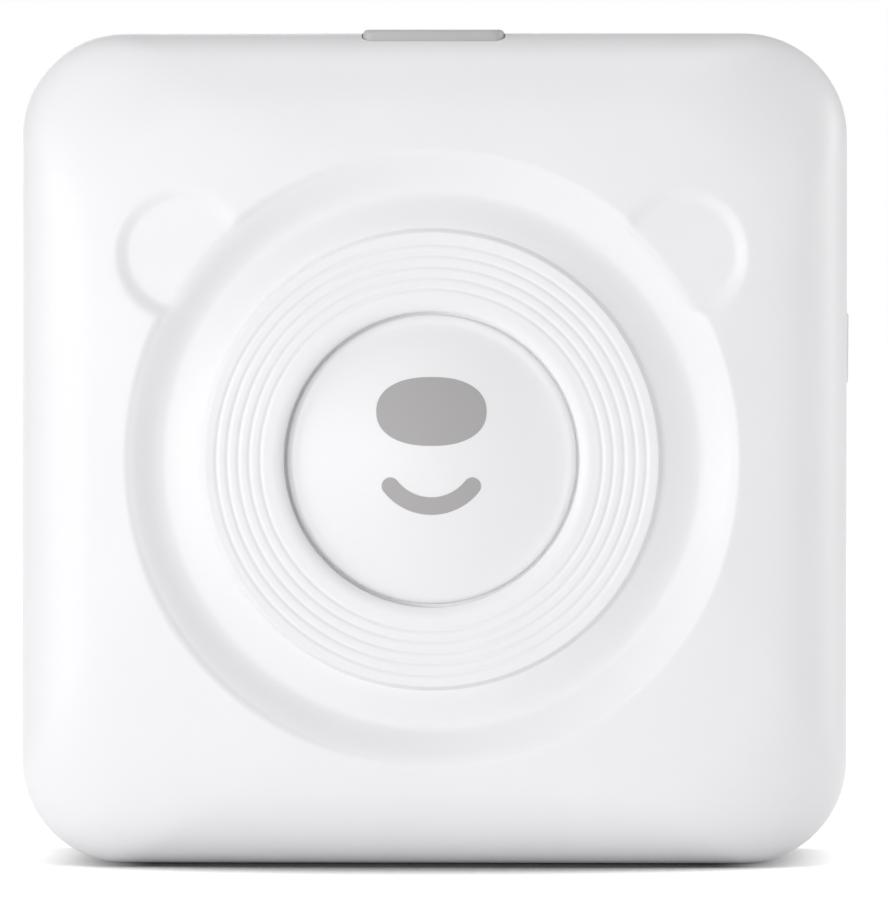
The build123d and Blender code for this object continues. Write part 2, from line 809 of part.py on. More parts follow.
# Platen: steel shaft, rubber roller and gear, turning in two bushes of the liner
with BuildPart() as platen_shaft:
    add(bar_along_x(-bay_half - 2.6, 2 * bay_half + 8.2, platen_y, platen_z, shaft_r))
save(platen_shaft, "platen_shaft")

with BuildPart() as platen_rubber:
    with BuildSketch(Plane.YZ.offset(-platen_len / 2)):
        with Locations(platen_at):
            Circle(platen_r)
            Circle(shaft_r, mode=Mode.SUBTRACT)
    extrude(amount=platen_len)
save(platen_rubber, "platen_rubber")

with BuildPart() as platen_gear:
    add(gear_wheel(inner_gear_x, inner_gear_w, platen_at, platen_teeth, platen_phase, shaft_r))
save(platen_gear, "platen_gear")

cheek_in = bay_half + 0.1
cheek_t = 2.0
bush_r = 2.8
with BuildPart() as platen_bushes:
    for side in (-1, 1):
        plane = Plane.YZ.offset(side * cheek_in)
        with BuildSketch(plane):
            with Locations(platen_at):
                Circle(bush_r)
        extrude(amount=side * (cheek_t + 0.5))
        with BuildSketch(Plane.YZ.offset(side * (cheek_in + cheek_t))):
            with Locations(platen_at):
                RegularPolygon(bush_r + 0.8, 8)
        extrude(amount=side * 0.5)
        with BuildSketch(plane):
            with Locations(platen_at):
                Circle(shaft_r + 0.03)
        extrude(amount=side * 4, mode=Mode.SUBTRACT)
save(platen_bushes, "platen_bushes")

# Cover liner: two cheeks, a curved guide under the platen, a trough round it and four lugs
trough_in = platen_r + 0.7
spring_seat = 80.9
with BuildPart() as cover_liner:
    for x0 in (-cheek_in - cheek_t, cheek_in):
        with BuildSketch(Plane.YZ.offset(x0)):
            with BuildLine():
                FilletPolyline(
                    (-1.6, 14), (-1.6, 82.5), (-9.5, 82.5), (-13.6, 78), (-13.6, 14),
                    close=True, radius=1.5,
                )
            make_face()
            with Locations(platen_at):
                Circle(bush_r + 0.02, mode=Mode.SUBTRACT)
            with Locations((roll_y, roll_z)):
                RegularPolygon(11.8, 12, mode=Mode.SUBTRACT)
        extrude(amount=cheek_t)
    with BuildSketch(Plane.YZ.offset(-cheek_in)):
        with Locations(platen_at):
            Circle(trough_in + 1.2)
            Circle(trough_in, mode=Mode.SUBTRACT)
        with Locations((platen_y + 1.0, platen_z)):
            Rectangle(12, 16, align=(Align.MIN, Align.CENTER), mode=Mode.SUBTRACT)
        with BuildLine():
            Polyline(
                (platen_y + 1.0, platen_z - trough_in - 1.0),
                (-3.2, 67.0),
                (-12.6, 50.5),
                (-13.6, 50.5),
                (-13.6, 51.6),
                (-4.6, 67.6),
                (platen_y - 0.4, platen_z - trough_in - 1.0),
                close=True,
            )
        make_face()
    extrude(amount=2 * cheek_in)
    # spring shelf in front of the trough
    with BuildSketch(Plane.YZ.offset(-cheek_in)):
        with BuildLine():
            Polyline((-13.4, 79.7), (-13.4, spring_seat), (-10.4, spring_seat), (-10.6, 79.7), close=True)
        make_face()
    extrude(amount=2 * cheek_in)
    # sill at the foot of the cheeks
    with BuildSketch(Plane.YZ.offset(-cheek_in)):
        with Locations((-9.6, 14)):
            Rectangle(4, 1.6, align=(Align.MAX, Align.MIN))
    extrude(amount=2 * cheek_in)
    with BuildSketch(Plane.XZ.offset(-cover_lug_y)):
        for side in (-1, 1):
            for lug_z in (18, 60):
                with Locations((side * (cheek_in + 5.4), lug_z)):
                    Rectangle(10.2, 6.4)
                with Locations((side * 37, lug_z)):
                    screw_hole(0.3, mode=Mode.SUBTRACT)
    extrude(amount=-lug_t)
    # finger that presses the cover switch
    with BuildSketch(Plane.YZ.offset(-cheek_in - cheek_t)):
        with Locations((cover_edge, 63)):
            Rectangle(4, 2.4, align=(Align.MAX, Align.CENTER))
    extrude(amount=-1.8)
save(cover_liner, "cover_liner")

# Print head: plate with two axle ears, ceramic strip with its glazed ridge, and connector
with BuildPart() as head_plate:
    with BuildSketch(Plane.YZ.offset(-28.2)):
        with Locations((head_y, head_bottom)):
            Rectangle(head_t, head_top - head_bottom, align=(Align.MIN, Align.MIN))
    extrude(amount=56.4)
    for side in (-1, 1):
        with BuildSketch(Plane.YZ.offset(side * 24 - 1)):
            with Locations((head_axle_y, head_axle_z)):
                Circle(2.2)
            with Locations((head_y + head_t - 0.2, head_axle_z)):
                Rectangle(2.0, 4.4, align=(Align.MIN, Align.CENTER))
            with Locations((head_axle_y, head_axle_z)):
                pin_hole(head_axle_r + 0.05, mode=Mode.SUBTRACT)
        extrude(amount=2)
save(head_plate, "head_plate")

with BuildPart() as head_ceramic:
    with BuildSketch(Plane.YZ.offset(-27.5)):
        with Locations((head_y, 75.5)):
            Rectangle(ceramic_t, 13, align=(Align.MAX, Align.CENTER))
        with Locations((head_y - ceramic_t, platen_z)):
            Circle(glaze_r)
    extrude(amount=55)
save(head_ceramic, "head_ceramic")

with BuildPart() as head_connector:
    with BuildSketch(Plane.XZ.offset(-head_y - head_t)):
        with Locations((0, 71)):
            Rectangle(21, 3)
    extrude(amount=-1.8)
save(head_connector, "head_connector")

with BuildPart() as head_axle:
    add(bar_along_x(-bay_half - plate_t, 2 * (bay_half + plate_t), head_axle_y, head_axle_z, head_axle_r))
save(head_axle, "head_axle")

# Flat cable from the head's connector up to the board
with BuildPart() as head_cable:
    with BuildSketch(Plane.YZ.offset(-9.5)):
        with BuildLine():
            cable_start = head_y + head_t + 1.9
            cable_path = FilletPolyline((cable_start, 71), (9.0, 71), (9.0, 75.5), (15.1, 75.5), radius=1.8)
        trace(line_width=0.3)
    extrude(amount=19)
save(head_cable, "head_cable")


# Leaf springs: a bowed strip behind the head, and an arch under each half of the latch bar
leaf_t = 0.3
with BuildPart() as head_spring:
    with BuildSketch(Plane.XY.offset(78)):
        with BuildLine():
            touch_y = head_y + head_t + leaf_t / 2 + 0.02
            root_y = spring_bar_y - leaf_t / 2
            Polyline(
                (-24, touch_y + 0.8), (-22, touch_y), (-20, touch_y), (-5, root_y),
                (5, root_y), (20, touch_y), (22, touch_y), (24, touch_y + 0.8),
            )
        trace(line_width=leaf_t)
    extrude(amount=4)
save(head_spring, "head_spring")

with BuildPart() as latch_springs:
    for side in (-1, 1):
        with BuildSketch(Plane.XZ.offset(12.7)):
            with BuildLine():
                low = spring_seat + leaf_t / 2
                high = bar_z - leaf_t / 2 - 0.02
                Polyline(
                    (side * 12, low), (side * 14, low), (side * 19, high),
                    (side * 21, high), (side * 26, low), (side * 28, low),
                )
            trace(line_width=leaf_t)
        extrude(amount=-2)
save(latch_springs, "latch_springs")

# Latch: bar with two hooked arms, and the button that stands on it
with BuildPart() as latch_bar:
    with BuildSketch(Plane.XY.offset(bar_z)):
        with Locations((0, bar_y)):
            Rectangle(2 * hook_x + hook_w, bar_d, align=(Align.CENTER, Align.MIN))
    extrude(amount=bar_h)
    for side in (-1, 1):
        with BuildSketch(Plane.YZ.offset(side * hook_x - hook_w / 2)):
            with BuildLine():
                Polyline(
                    (bar_y, bar_z),
                    (1.2, bar_z),
                    (1.7, bar_z + 0.5),
                    (1.7, hook_nose_z - 0.6),
                    (1.2, hook_nose_z),
                    (0.75, hook_nose_z),
                    (0.75, bar_z + bar_h),
                    (bar_y, bar_z + bar_h),
                    close=True,
                )
            make_face()
        extrude(amount=hook_w)
save(latch_bar, "latch_bar")

with BuildPart() as open_button:
    with BuildSketch(Plane.XY.offset(bar_z + bar_h + 1.3)):
        with Locations((0, (button_front + button_back) / 2)):
            RectangleRounded(2 * button_half, button_back - button_front, 1.1)
    extrude(amount=button_top - bar_z - bar_h - 1.3)
    chamfer(open_button.faces().sort_by(Axis.Z)[-1].edges(), 0.3)
    with BuildSketch(Plane.XY.offset(bar_z + bar_h)):
        with Locations((0, bar_y + bar_d / 2 + 0.3)):
            Rectangle(13, bar_d - 0.6)
    extrude(amount=1.3)
    with BuildSketch(Plane.XY.offset(bar_z + bar_h + 1.3)):
        with Locations((0, (button_front + button_back) / 2 + 1.0)):
            Rectangle(2 * button_half + 2.8, 2.6)
    extrude(amount=0.8)
save(open_button, "open_button")

# Serrated steel tear blade behind the paper slot
blade_top = height - 0.5
tooth_pitch = 2.0
tooth_height = 1.0
with BuildPart() as tear_blade:
    with BuildSketch(Plane.XZ.offset(-slot_back)):
        with BuildLine():
            tooth_count = 29
            left = -tooth_count * tooth_pitch / 2
            edge = [(left, plate_top - 0.2)]
            for tooth in range(tooth_count):
                foot = left + tooth * tooth_pitch
                edge.append((foot, blade_top - tooth_height))
                edge.append((foot + tooth_pitch / 2, blade_top))
            edge.append((-left, blade_top - tooth_height))
            edge.append((-left, plate_top - 0.2))
            Polyline(*edge, close=True)
        make_face()
    extrude(amount=0.4)
save(tear_blade, "tear_blade")

# Paper sensor behind its window, and the switch that feels the cover
with BuildPart() as paper_sensor:
    with BuildSketch(Plane.XZ.offset(0.3)):
        with Locations((10, 57)):
            Rectangle(4.4, 3.2)
    extrude(amount=-2.4)
    with BuildSketch(Plane.XZ.offset(-0.6)):
        with Locations((10, 57)):
            Rectangle(7, 5)
    extrude(amount=-0.8)
save(paper_sensor, "paper_sensor")

with BuildPart() as cover_switch:
    with BuildSketch(Plane.YZ.offset(-bay_half - plate_t)):
        with Locations((plate_front + 0.4, 63)):
            Rectangle(4.8, 6.5, align=(Align.MIN, Align.CENTER))
    extrude(amount=-2.6)
    with BuildSketch(Plane.XZ.offset(-plate_front - 0.4)):
        with Locations((-bay_half - plate_t - 1.5, 63)):
            Circle(0.6)
    extrude(amount=0.75)
save(cover_switch, "cover_switch")
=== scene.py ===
# Pocket printer dressed over its CAD frame. Dictionaries give millimetres, the meshes are in metres.
import json
import math

import bmesh
import bpy
import numpy as np
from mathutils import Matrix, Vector


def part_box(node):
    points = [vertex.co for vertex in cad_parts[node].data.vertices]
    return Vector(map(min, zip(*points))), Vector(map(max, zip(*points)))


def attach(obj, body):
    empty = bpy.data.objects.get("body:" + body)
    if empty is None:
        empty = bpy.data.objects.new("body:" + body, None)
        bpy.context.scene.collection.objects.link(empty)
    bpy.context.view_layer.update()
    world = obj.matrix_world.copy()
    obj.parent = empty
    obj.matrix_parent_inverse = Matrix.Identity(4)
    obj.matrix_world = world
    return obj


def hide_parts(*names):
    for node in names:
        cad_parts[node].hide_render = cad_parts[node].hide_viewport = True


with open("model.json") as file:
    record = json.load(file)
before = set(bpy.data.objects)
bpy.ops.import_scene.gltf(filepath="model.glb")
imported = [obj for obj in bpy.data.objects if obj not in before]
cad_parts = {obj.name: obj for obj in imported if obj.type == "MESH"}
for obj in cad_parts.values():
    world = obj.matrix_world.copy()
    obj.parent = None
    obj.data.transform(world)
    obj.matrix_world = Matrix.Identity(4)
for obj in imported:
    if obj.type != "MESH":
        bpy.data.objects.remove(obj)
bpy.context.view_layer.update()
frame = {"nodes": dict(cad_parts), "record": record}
mm = 0.001
print("frame loaded with", len(frame["nodes"]), "nodes")

# Overall form, read from the frame where it says so
coverLow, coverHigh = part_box("front_cover")
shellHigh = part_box("rear_shell")[1]
housing = {
    "width": (coverHigh.x - coverLow.x) / mm,
    "height": coverHigh.z / mm,
    "frontY": coverLow.y / mm,
    "backY": shellHigh.y / mm,
    "coverEdgeY": -1.15,
    "shellEdgeY": -0.85,
    "cornerR": 11.2,
    "cornerGrowth": 0.7,
    "wall": 1.8,
    "seamRound": 0.2,
}
halfWidth = housing["width"] / 2
halfHeight = housing["height"] / 2


def linearColour(code):
    # sRGB hex to the linear numbers that the sockets take
    srgb = np.array([int(code[i : i + 2], 16) for i in (0, 2, 4)]) / 255
    linear = np.where(srgb <= 0.04045, srgb / 12.92, ((srgb + 0.055) / 1.055) ** 2.4)
    return (*linear, 1.0)


def addNode(tree, kind, inputs=None, **settings):
    # one node with its settings; each input is a value or another node's socket
    node = tree.nodes.new(kind)
    for key, value in settings.items():
        setattr(node, key, value)
    for key, value in (inputs or {}).items():
        if isinstance(value, bpy.types.NodeSocket):
            tree.links.new(value, node.inputs[key])
        else:
            node.inputs[key].default_value = value
    return node


def ramp(x, low, high):
    # smooth step from 0 at low to 1 at high
    share = np.clip((x - low) / (high - low), 0, 1)
    return share * share * (3 - 2 * share)


def softMax(a, b, width):
    # the larger of two heights, with a fillet about as wide as width where they meet
    share = np.clip(0.5 + 0.5 * (a - b) / width, 0, 1)
    return b + (a - b) * share + width * share * (1 - share)


def outlineDistance(x, z, inset, cornerR):
    # signed distance to a rounded rectangle about the middle of the face, negative inside
    overX = np.abs(x) - (halfWidth - inset - cornerR)
    overZ = np.abs(z - halfHeight) - (halfHeight - inset - cornerR)
    outside = np.hypot(np.maximum(overX, 0), np.maximum(overZ, 0))
    return outside + np.minimum(np.maximum(overX, overZ), 0) - cornerR


def reachToOutline(angles, centreZ, inset, cornerR):
    # how far a ray at each angle runs from (0, centreZ) to the outline, by halving
    near = np.zeros_like(angles)
    far = np.full_like(angles, 2 * halfWidth)
    for _ in range(40):
        middle = (near + far) / 2
        x, z = middle * np.cos(angles), centreZ + middle * np.sin(angles)
        inside = outlineDistance(x, z, inset, cornerR) < 0
        near = np.where(inside, middle, near)
        far = np.where(inside, far, middle)
    return near


def gridFaces(rows, columns, closed=True):
    # quads between neighbouring rows; a closed grid joins its last column to its first
    row = np.arange(rows - 1)[:, None] * columns
    column = np.arange(columns if closed else columns - 1)[None, :]
    after = (column + 1) % columns
    quads = np.stack([row + column, row + after, row + columns + after, row + columns + column], -1)
    return quads.reshape(-1, 4)


def addMesh(name, points, faces):
    # an object at the origin from points in millimetres and lists of their numbers
    mesh = bpy.data.meshes.new(name)
    mesh.from_pydata(np.asarray(points) * mm, [], faces)
    mesh.update()
    piece = bpy.data.objects.new(name, mesh)
    bpy.context.scene.collection.objects.link(piece)
    return piece


def closedGrid(name, grid):
    # a grid of rings (rows, columns, xyz) whose first and last rings are closed by a point in their middle
    rows, columns, _ = grid.shape
    points = np.vstack([grid.reshape(-1, 3), grid[0].mean(0), grid[-1].mean(0)])
    first, last = rows * columns, rows * columns + 1
    column = np.arange(columns)
    after = (column + 1) % columns
    start = np.stack([after, column, np.full(columns, first)], -1)
    tail = (rows - 1) * columns
    end = np.stack([tail + column, tail + after, np.full(columns, last)], -1)
    faces = gridFaces(rows, columns).tolist() + start.tolist() + end.tolist()
    piece = addMesh(name, points, faces)
    tidyNormals(piece)
    return piece


def tidyNormals(piece):
    # merge doubles, then point every face outwards
    work = bmesh.new()
    work.from_mesh(piece.data)
    bmesh.ops.remove_doubles(work, verts=work.verts, dist=1e-7)
    bmesh.ops.recalc_face_normals(work, faces=work.faces)
    work.to_mesh(piece.data)
    work.free()
    return piece


def prism(name, outline, axis, start, end, bevel=0.0):
    # an outline of (u, v) pairs carried along an axis; u and v are the other two axes in X, Y, Z order
    outline = np.asarray(outline, float)
    others = [k for k in range(3) if k != axis]
    rings = []
    middle = outline.mean(0)
    levels = [(start, 1.0), (end, 1.0)]
    if bevel:
        size = np.abs(outline - middle).max()
        levels = [(start, 1.0), (end - bevel, 1.0)]
        for turn in np.linspace(0, math.pi / 2, 5)[1:]:
            levels.append((end - bevel + bevel * math.sin(turn), 1 - bevel * (1 - math.cos(turn)) / size))
    for level, scale in levels:
        ring = np.zeros((len(outline), 3))
        ring[:, others] = middle + (outline - middle) * scale
        ring[:, axis] = level
        rings.append(ring)
    return closedGrid(name, np.array(rings))


def roundedBox(width, height, radius, centre=(0, 0), steps=8):
    # outline of a rounded rectangle, corner by corner
    corners = []
    for quarter, (signU, signV) in enumerate([(1, 1), (-1, 1), (-1, -1), (1, -1)]):
        turn = np.linspace(0, math.pi / 2, steps) + quarter * math.pi / 2
        u = centre[0] + signU * (width / 2 - radius) + radius * np.cos(turn)
        v = centre[1] + signV * (height / 2 - radius) + radius * np.sin(turn)
        corners.append(np.stack([u, v], -1))
    return np.vstack(corners)


def circle(radius, centre, steps=48):
    # outline of a circle, as the middle plus the radius times cosine and sine
    turn = np.linspace(0, 2 * math.pi, steps, endpoint=False)
    return np.stack([centre[0] + radius * np.cos(turn), centre[1] + radius * np.sin(turn)], -1)


def combine(piece, tools, operation):
    # apply one boolean for each tool, then remove the tools
    for tool in tools:
        modifier = piece.modifiers.new(operation, "BOOLEAN")
        modifier.operation = operation
        modifier.solver = "EXACT"
        modifier.object = tool
    bpy.context.view_layer.update()
    graph = bpy.context.evaluated_depsgraph_get()
    result = bpy.data.meshes.new_from_object(piece.evaluated_get(graph))
    piece.modifiers.clear()
    old = piece.data
    piece.data = result
    bpy.data.meshes.remove(old)
    for tool in tools:
        bpy.data.objects.remove(tool)
    return piece


def finishPiece(piece, material, body, crease=30):
    # smooth shading with hard edges above the crease angle, then material and body
    piece.data.shade_smooth()
    piece.data.set_sharp_from_angle(angle=math.radians(crease))
    piece.data.materials.clear()
    piece.data.materials.append(material)
    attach(piece, body)
    return piece


# Materials


def newMaterial(name):
    # a material with an empty tree
    material = bpy.data.materials.new(name)
    material.use_nodes = True
    material.node_tree.nodes.clear()
    return material


def mouldedPlastic(name, colour, roughness, ior, grain=0.25, relief=0.004, mottle=0.02):
    # injection moulded plastic: even colour with a faint cloudiness, and the fine spark-eroded grain
    # of the mould as bump; grain is its real spacing in millimetres
    material = newMaterial(name)
    tree = material.node_tree
    place = addNode(tree, "ShaderNodeTexCoord").outputs["Object"]
    cloud = addNode(tree, "ShaderNodeTexNoise", {"Vector": place, "Scale": 1 / (14 * mm), "Detail": 2.0})
    shade = addNode(tree, "ShaderNodeHueSaturation", {"Color": linearColour(colour), "Saturation": 1.0})
    spread = addNode(
        tree,
        "ShaderNodeMapRange",
        {"Value": cloud.outputs["Fac"], "To Min": 1 - mottle, "To Max": 1 + mottle},
    )
    tree.links.new(spread.outputs["Result"], shade.inputs["Value"])
    pits = addNode(tree, "ShaderNodeTexNoise", {"Vector": place, "Scale": 1 / (grain * mm), "Detail": 3.0})
    gloss = addNode(
        tree,
        "ShaderNodeMapRange",
        {"Value": pits.outputs["Fac"], "To Min": roughness - 0.04, "To Max": roughness + 0.04},
    )
    bump = addNode(
        tree, "ShaderNodeBump", {"Height": pits.outputs["Fac"], "Strength": 0.35, "Distance": relief * mm}
    )
    shader = addNode(
        tree,
        "ShaderNodeBsdfPrincipled",
        {
            "Base Color": shade.outputs["Color"],
            "Roughness": gloss.outputs["Result"],
            "IOR": ior,
            "Normal": bump.outputs["Normal"],
        },
    )
    addNode(tree, "ShaderNodeOutputMaterial", {"Surface": shader.outputs["BSDF"]})
    return material


def workedMetal(name, colour, roughness, lineAcross, lineAlong, relief=0.002):
    # cut, drawn or rolled metal: fine lines from the tool, long along X; spacing in millimetres
    material = newMaterial(name)
    tree = material.node_tree
    place = addNode(tree, "ShaderNodeTexCoord").outputs["Object"]
    stretch = addNode(
        tree,
        "ShaderNodeMapping",
        {"Vector": place, "Scale": (1 / (lineAlong * mm), 1 / (lineAcross * mm), 1 / (lineAcross * mm))},
    )
    lines = addNode(
        tree, "ShaderNodeTexNoise", {"Vector": stretch.outputs["Vector"], "Scale": 1.0, "Detail": 3.0}
    )
    gloss = addNode(
        tree,
        "ShaderNodeMapRange",
        {"Value": lines.outputs["Fac"], "To Min": roughness - 0.08, "To Max": roughness + 0.08},
    )
    bump = addNode(
        tree, "ShaderNodeBump", {"Height": lines.outputs["Fac"], "Strength": 0.3, "Distance": relief * mm}
    )
    shader = addNode(
        tree,
        "ShaderNodeBsdfPrincipled",
        {
            "Base Color": linearColour(colour),
            "Metallic": 1.0,
            "Roughness": gloss.outputs["Result"],
            "Normal": bump.outputs["Normal"],
        },
    )
    addNode(tree, "ShaderNodeOutputMaterial", {"Surface": shader.outputs["BSDF"]})
    return material


finishes = {
    # white ABS off a fine satin mould: soft broad highlight, slightly cool white
    "white_abs": mouldedPlastic("white_abs_satin_moulded", "f3f2f4", 0.42, 1.53),
    # grey ABS of the button, same mould finish
    "grey_abs": mouldedPlastic("grey_abs_satin_moulded", "b9b9ba", 0.45, 1.53),
    # inner ABS parts, off a plainer mould with a coarser grain
    "inner_abs": mouldedPlastic("white_abs_plain_moulded", "e2e1df", 0.5, 1.53, grain=0.5, relief=0.01),
    # natural acetal gears and bushes: waxy, a little translucent white
    "acetal": mouldedPlastic("acetal_moulded", "efeee6", 0.38, 1.48, grain=0.3),
    # nylon connector and black nylon switches
    "nylon": mouldedPlastic("nylon_natural_moulded", "e6e0cf", 0.5, 1.52),
    "black_nylon": mouldedPlastic("nylon_black_moulded", "1d1d1e", 0.5, 1.52),
    # epoxy packages, matt black with a fine filler grain
    "chips": mouldedPlastic("epoxy_black_moulded", "17181a", 0.55, 1.55, grain=0.15, relief=0.01),
    # nitrile platen rubber, ground: dull with very fine grinding marks
    "rubber": mouldedPlastic(
        "nitrile_rubber_ground", "1b1b1c", 0.72, 1.52, grain=0.2, relief=0.012, mottle=0.06
    ),
    # silicone insulation of the leads
    "lead_sheath": mouldedPlastic("silicone_red_extruded", "a8241c", 0.5, 1.41),
    # flat cable film, polyester over tinned strips
    "flat_cable": mouldedPlastic("polyester_film_laminated", "e4e4dc", 0.3, 1.57),
    # glazed alumina heater strip
    "ceramic": mouldedPlastic("alumina_glazed", "d9cdbd", 0.2, 1.6, grain=0.4, relief=0.002),
    # aluminised pouch, slightly creased
    "battery_wrap": mouldedPlastic("pouch_foil_laminated", "b9bcc0", 0.35, 1.5, grain=2.5, relief=0.06),
    # solder mask over woven glass: glossy green with the weave just felt
    "board": mouldedPlastic(
        "solder_mask_green_printed", "0f5a30", 0.28, 1.5, grain=0.6, relief=0.01, mottle=0.08
    ),
    # turned steel shafts: bright with fine rings; rolled and plated steel: smoother, slightly warm
    "steel": workedMetal("steel_turned", "c3c4c6", 0.3, 0.12, 3.0),
    "plated_steel": workedMetal("steel_nickel_plated_rolled", "d0d0cd", 0.28, 0.2, 4.0),
    # spring strip, rolled bright; aluminium plate, milled to a soft sheen; brass, turned
    "spring_steel": workedMetal("spring_steel_rolled", "b4b6ba", 0.25, 0.15, 6.0),
    "aluminium": workedMetal("aluminium_milled", "b9bbbd", 0.35, 0.15, 5.0),
    "brass": workedMetal("brass_turned", "d9b568", 0.28, 0.12, 2.0),
}
nodeSlot = {s["node"]: s["material_slot"] for s in frame["record"]["subparts"]}
for nodeName, node in frame["nodes"].items():
    node.data.materials.clear()
    node.data.materials.append(finishes[nodeSlot[nodeName]])
print("materials made:", len(finishes))

# Front cover

cover = {
    "faceZ": 44.05,
    "edgeR": 9.5,
    "crownWidth": 22.0,
    "crownDrop": 1.1,
    "crownSlope": 9.0,
    "rimR": 33.3,
    "rimY": -19.35,
    "rimSlope": 0.8,
    "rimFillet": 0.45,
    "troughR": 28.9,
    "troughY": -17.6,
    "ringR": 24.7,
    "ringFootY": -18.6,
    "ringY": -19.5,
    "grooveFirstR": 18.46,
    "groovePitch": 1.19,
    "grooveHalf": 0.36,
    "grooveDepth": 0.1,
    "grooves": 5,
    "lipR": 17.25,
    "lipDrop": 0.7,
    "holeR": 15.97,
    "seatY": -17.0,
    "earX": 27.0,
    "earRise": 22.15,
    "earR": 7.27,
    "earWall": 0.8,
    "earFloorY": -19.03,
    "earTilt": 0.05,
    "innerBendY": -12.0,
    "innerTopY": -17.5,
    "innerTopInset": 7.7,
    "innerTopCornerR": 6.0,
    "bossR": 34.3,
    "bossY": -15.0,
    "middleR": 12.0,
    "faceStops": [(17.7, 14), (24.3, 60), (25.1, 14), (34.4, 44)],  # radius, and rows up to it
    "edgeRows": 44,
    "arcRows": 22,
    "columns": 400,
}
slopeSine = math.sin(math.radians(cover["crownSlope"]))
slopeCosine = math.cos(math.radians(cover["crownSlope"]))
flatInset = cover["edgeR"] * (1 - slopeSine)
arcCentreY = housing["frontY"] + cover["crownDrop"] + cover["edgeR"] * slopeCosine


def cornerRadius(inset):
    # corners get rounder towards the middle of the face
    return np.minimum(housing["cornerR"] + housing["cornerGrowth"] * inset, 0.9 * (halfWidth - inset))


def insetAt(x, z):
    # how far in from the outline a point lies, following the rounded rectangles inwards, by halving
    near, far = np.zeros_like(x), np.full_like(x, 40.0)
    for _ in range(36):
        middle = (near + far) / 2
        inside = outlineDistance(x, z, middle, cornerRadius(middle)) < 0
        near, far = np.where(inside, middle, near), np.where(inside, far, middle)
    return near


def crownY(inset):
    # flat field, then a parabola that falls towards the edge
    share = np.maximum(0, (cover["crownWidth"] - inset) / (cover["crownWidth"] - flatInset))
    return housing["frontY"] + cover["crownDrop"] * share**2


def dishY(radius):
    # lip of the cap's hole, grooved ring, step, trough and rim as one height over the radius
    c = cover
    height = np.full_like(radius, c["ringY"])
    for groove in range(c["grooves"]):
        away = np.abs(radius - c["grooveFirstR"] - groove * c["groovePitch"])
        height += c["grooveDepth"] * (1 - ramp(away, 0, c["grooveHalf"]))
    lip = np.clip((c["lipR"] - radius) / (c["lipR"] - c["holeR"]), 0, 1)
    height += c["lipDrop"] * (1 - np.sqrt(1 - 0.99 * lip**2))
    height += (c["ringFootY"] - c["ringY"]) * ramp(radius, c["ringR"] - 0.25, c["ringR"] + 0.3)
    height += (c["troughY"] - c["ringFootY"]) * ramp(radius, c["ringR"] - 0.3, c["troughR"])
    rise = ramp(radius, c["troughR"], c["rimR"])
    height += (c["rimY"] - c["troughY"]) * rise
    height -= c["rimSlope"] * np.maximum(0, radius - c["rimR"] + 0.6) ** 1.3
    return height


def faceY(x, z):
    # crowned field with the two ear reliefs let in, and the dish let into both
    c = cover
    field = crownY(insetAt(x, z))
    for side in (-1, 1):
        away = np.hypot(x - side * c["earX"], z - c["faceZ"] - c["earRise"])
        floor = c["earFloorY"] + c["earTilt"] * (side * x - c["earX"])
        inside = 1 - ramp(away, c["earR"] - 2 * c["earWall"], c["earR"])
        field = field + (np.maximum(floor, field) - field) * inside
    radius = np.hypot(x, z - c["faceZ"])
    return softMax(dishY(radius), field, c["rimFillet"])


def coverAngles():
    # ray angles, closer together round the diagonals, where the ears and the corners lie
    even = np.linspace(0, 2 * math.pi, 4001)
    weight = 1 + 1.2 * sum(np.exp(-(((even - math.radians(a)) / 0.22) ** 2)) for a in (41, 139, 223, 317))
    run = np.concatenate([[0], np.cumsum((weight[1:] + weight[:-1]) / 2)])
    return np.interp(np.linspace(0, run[-1], cover["columns"], endpoint=False), run, even)


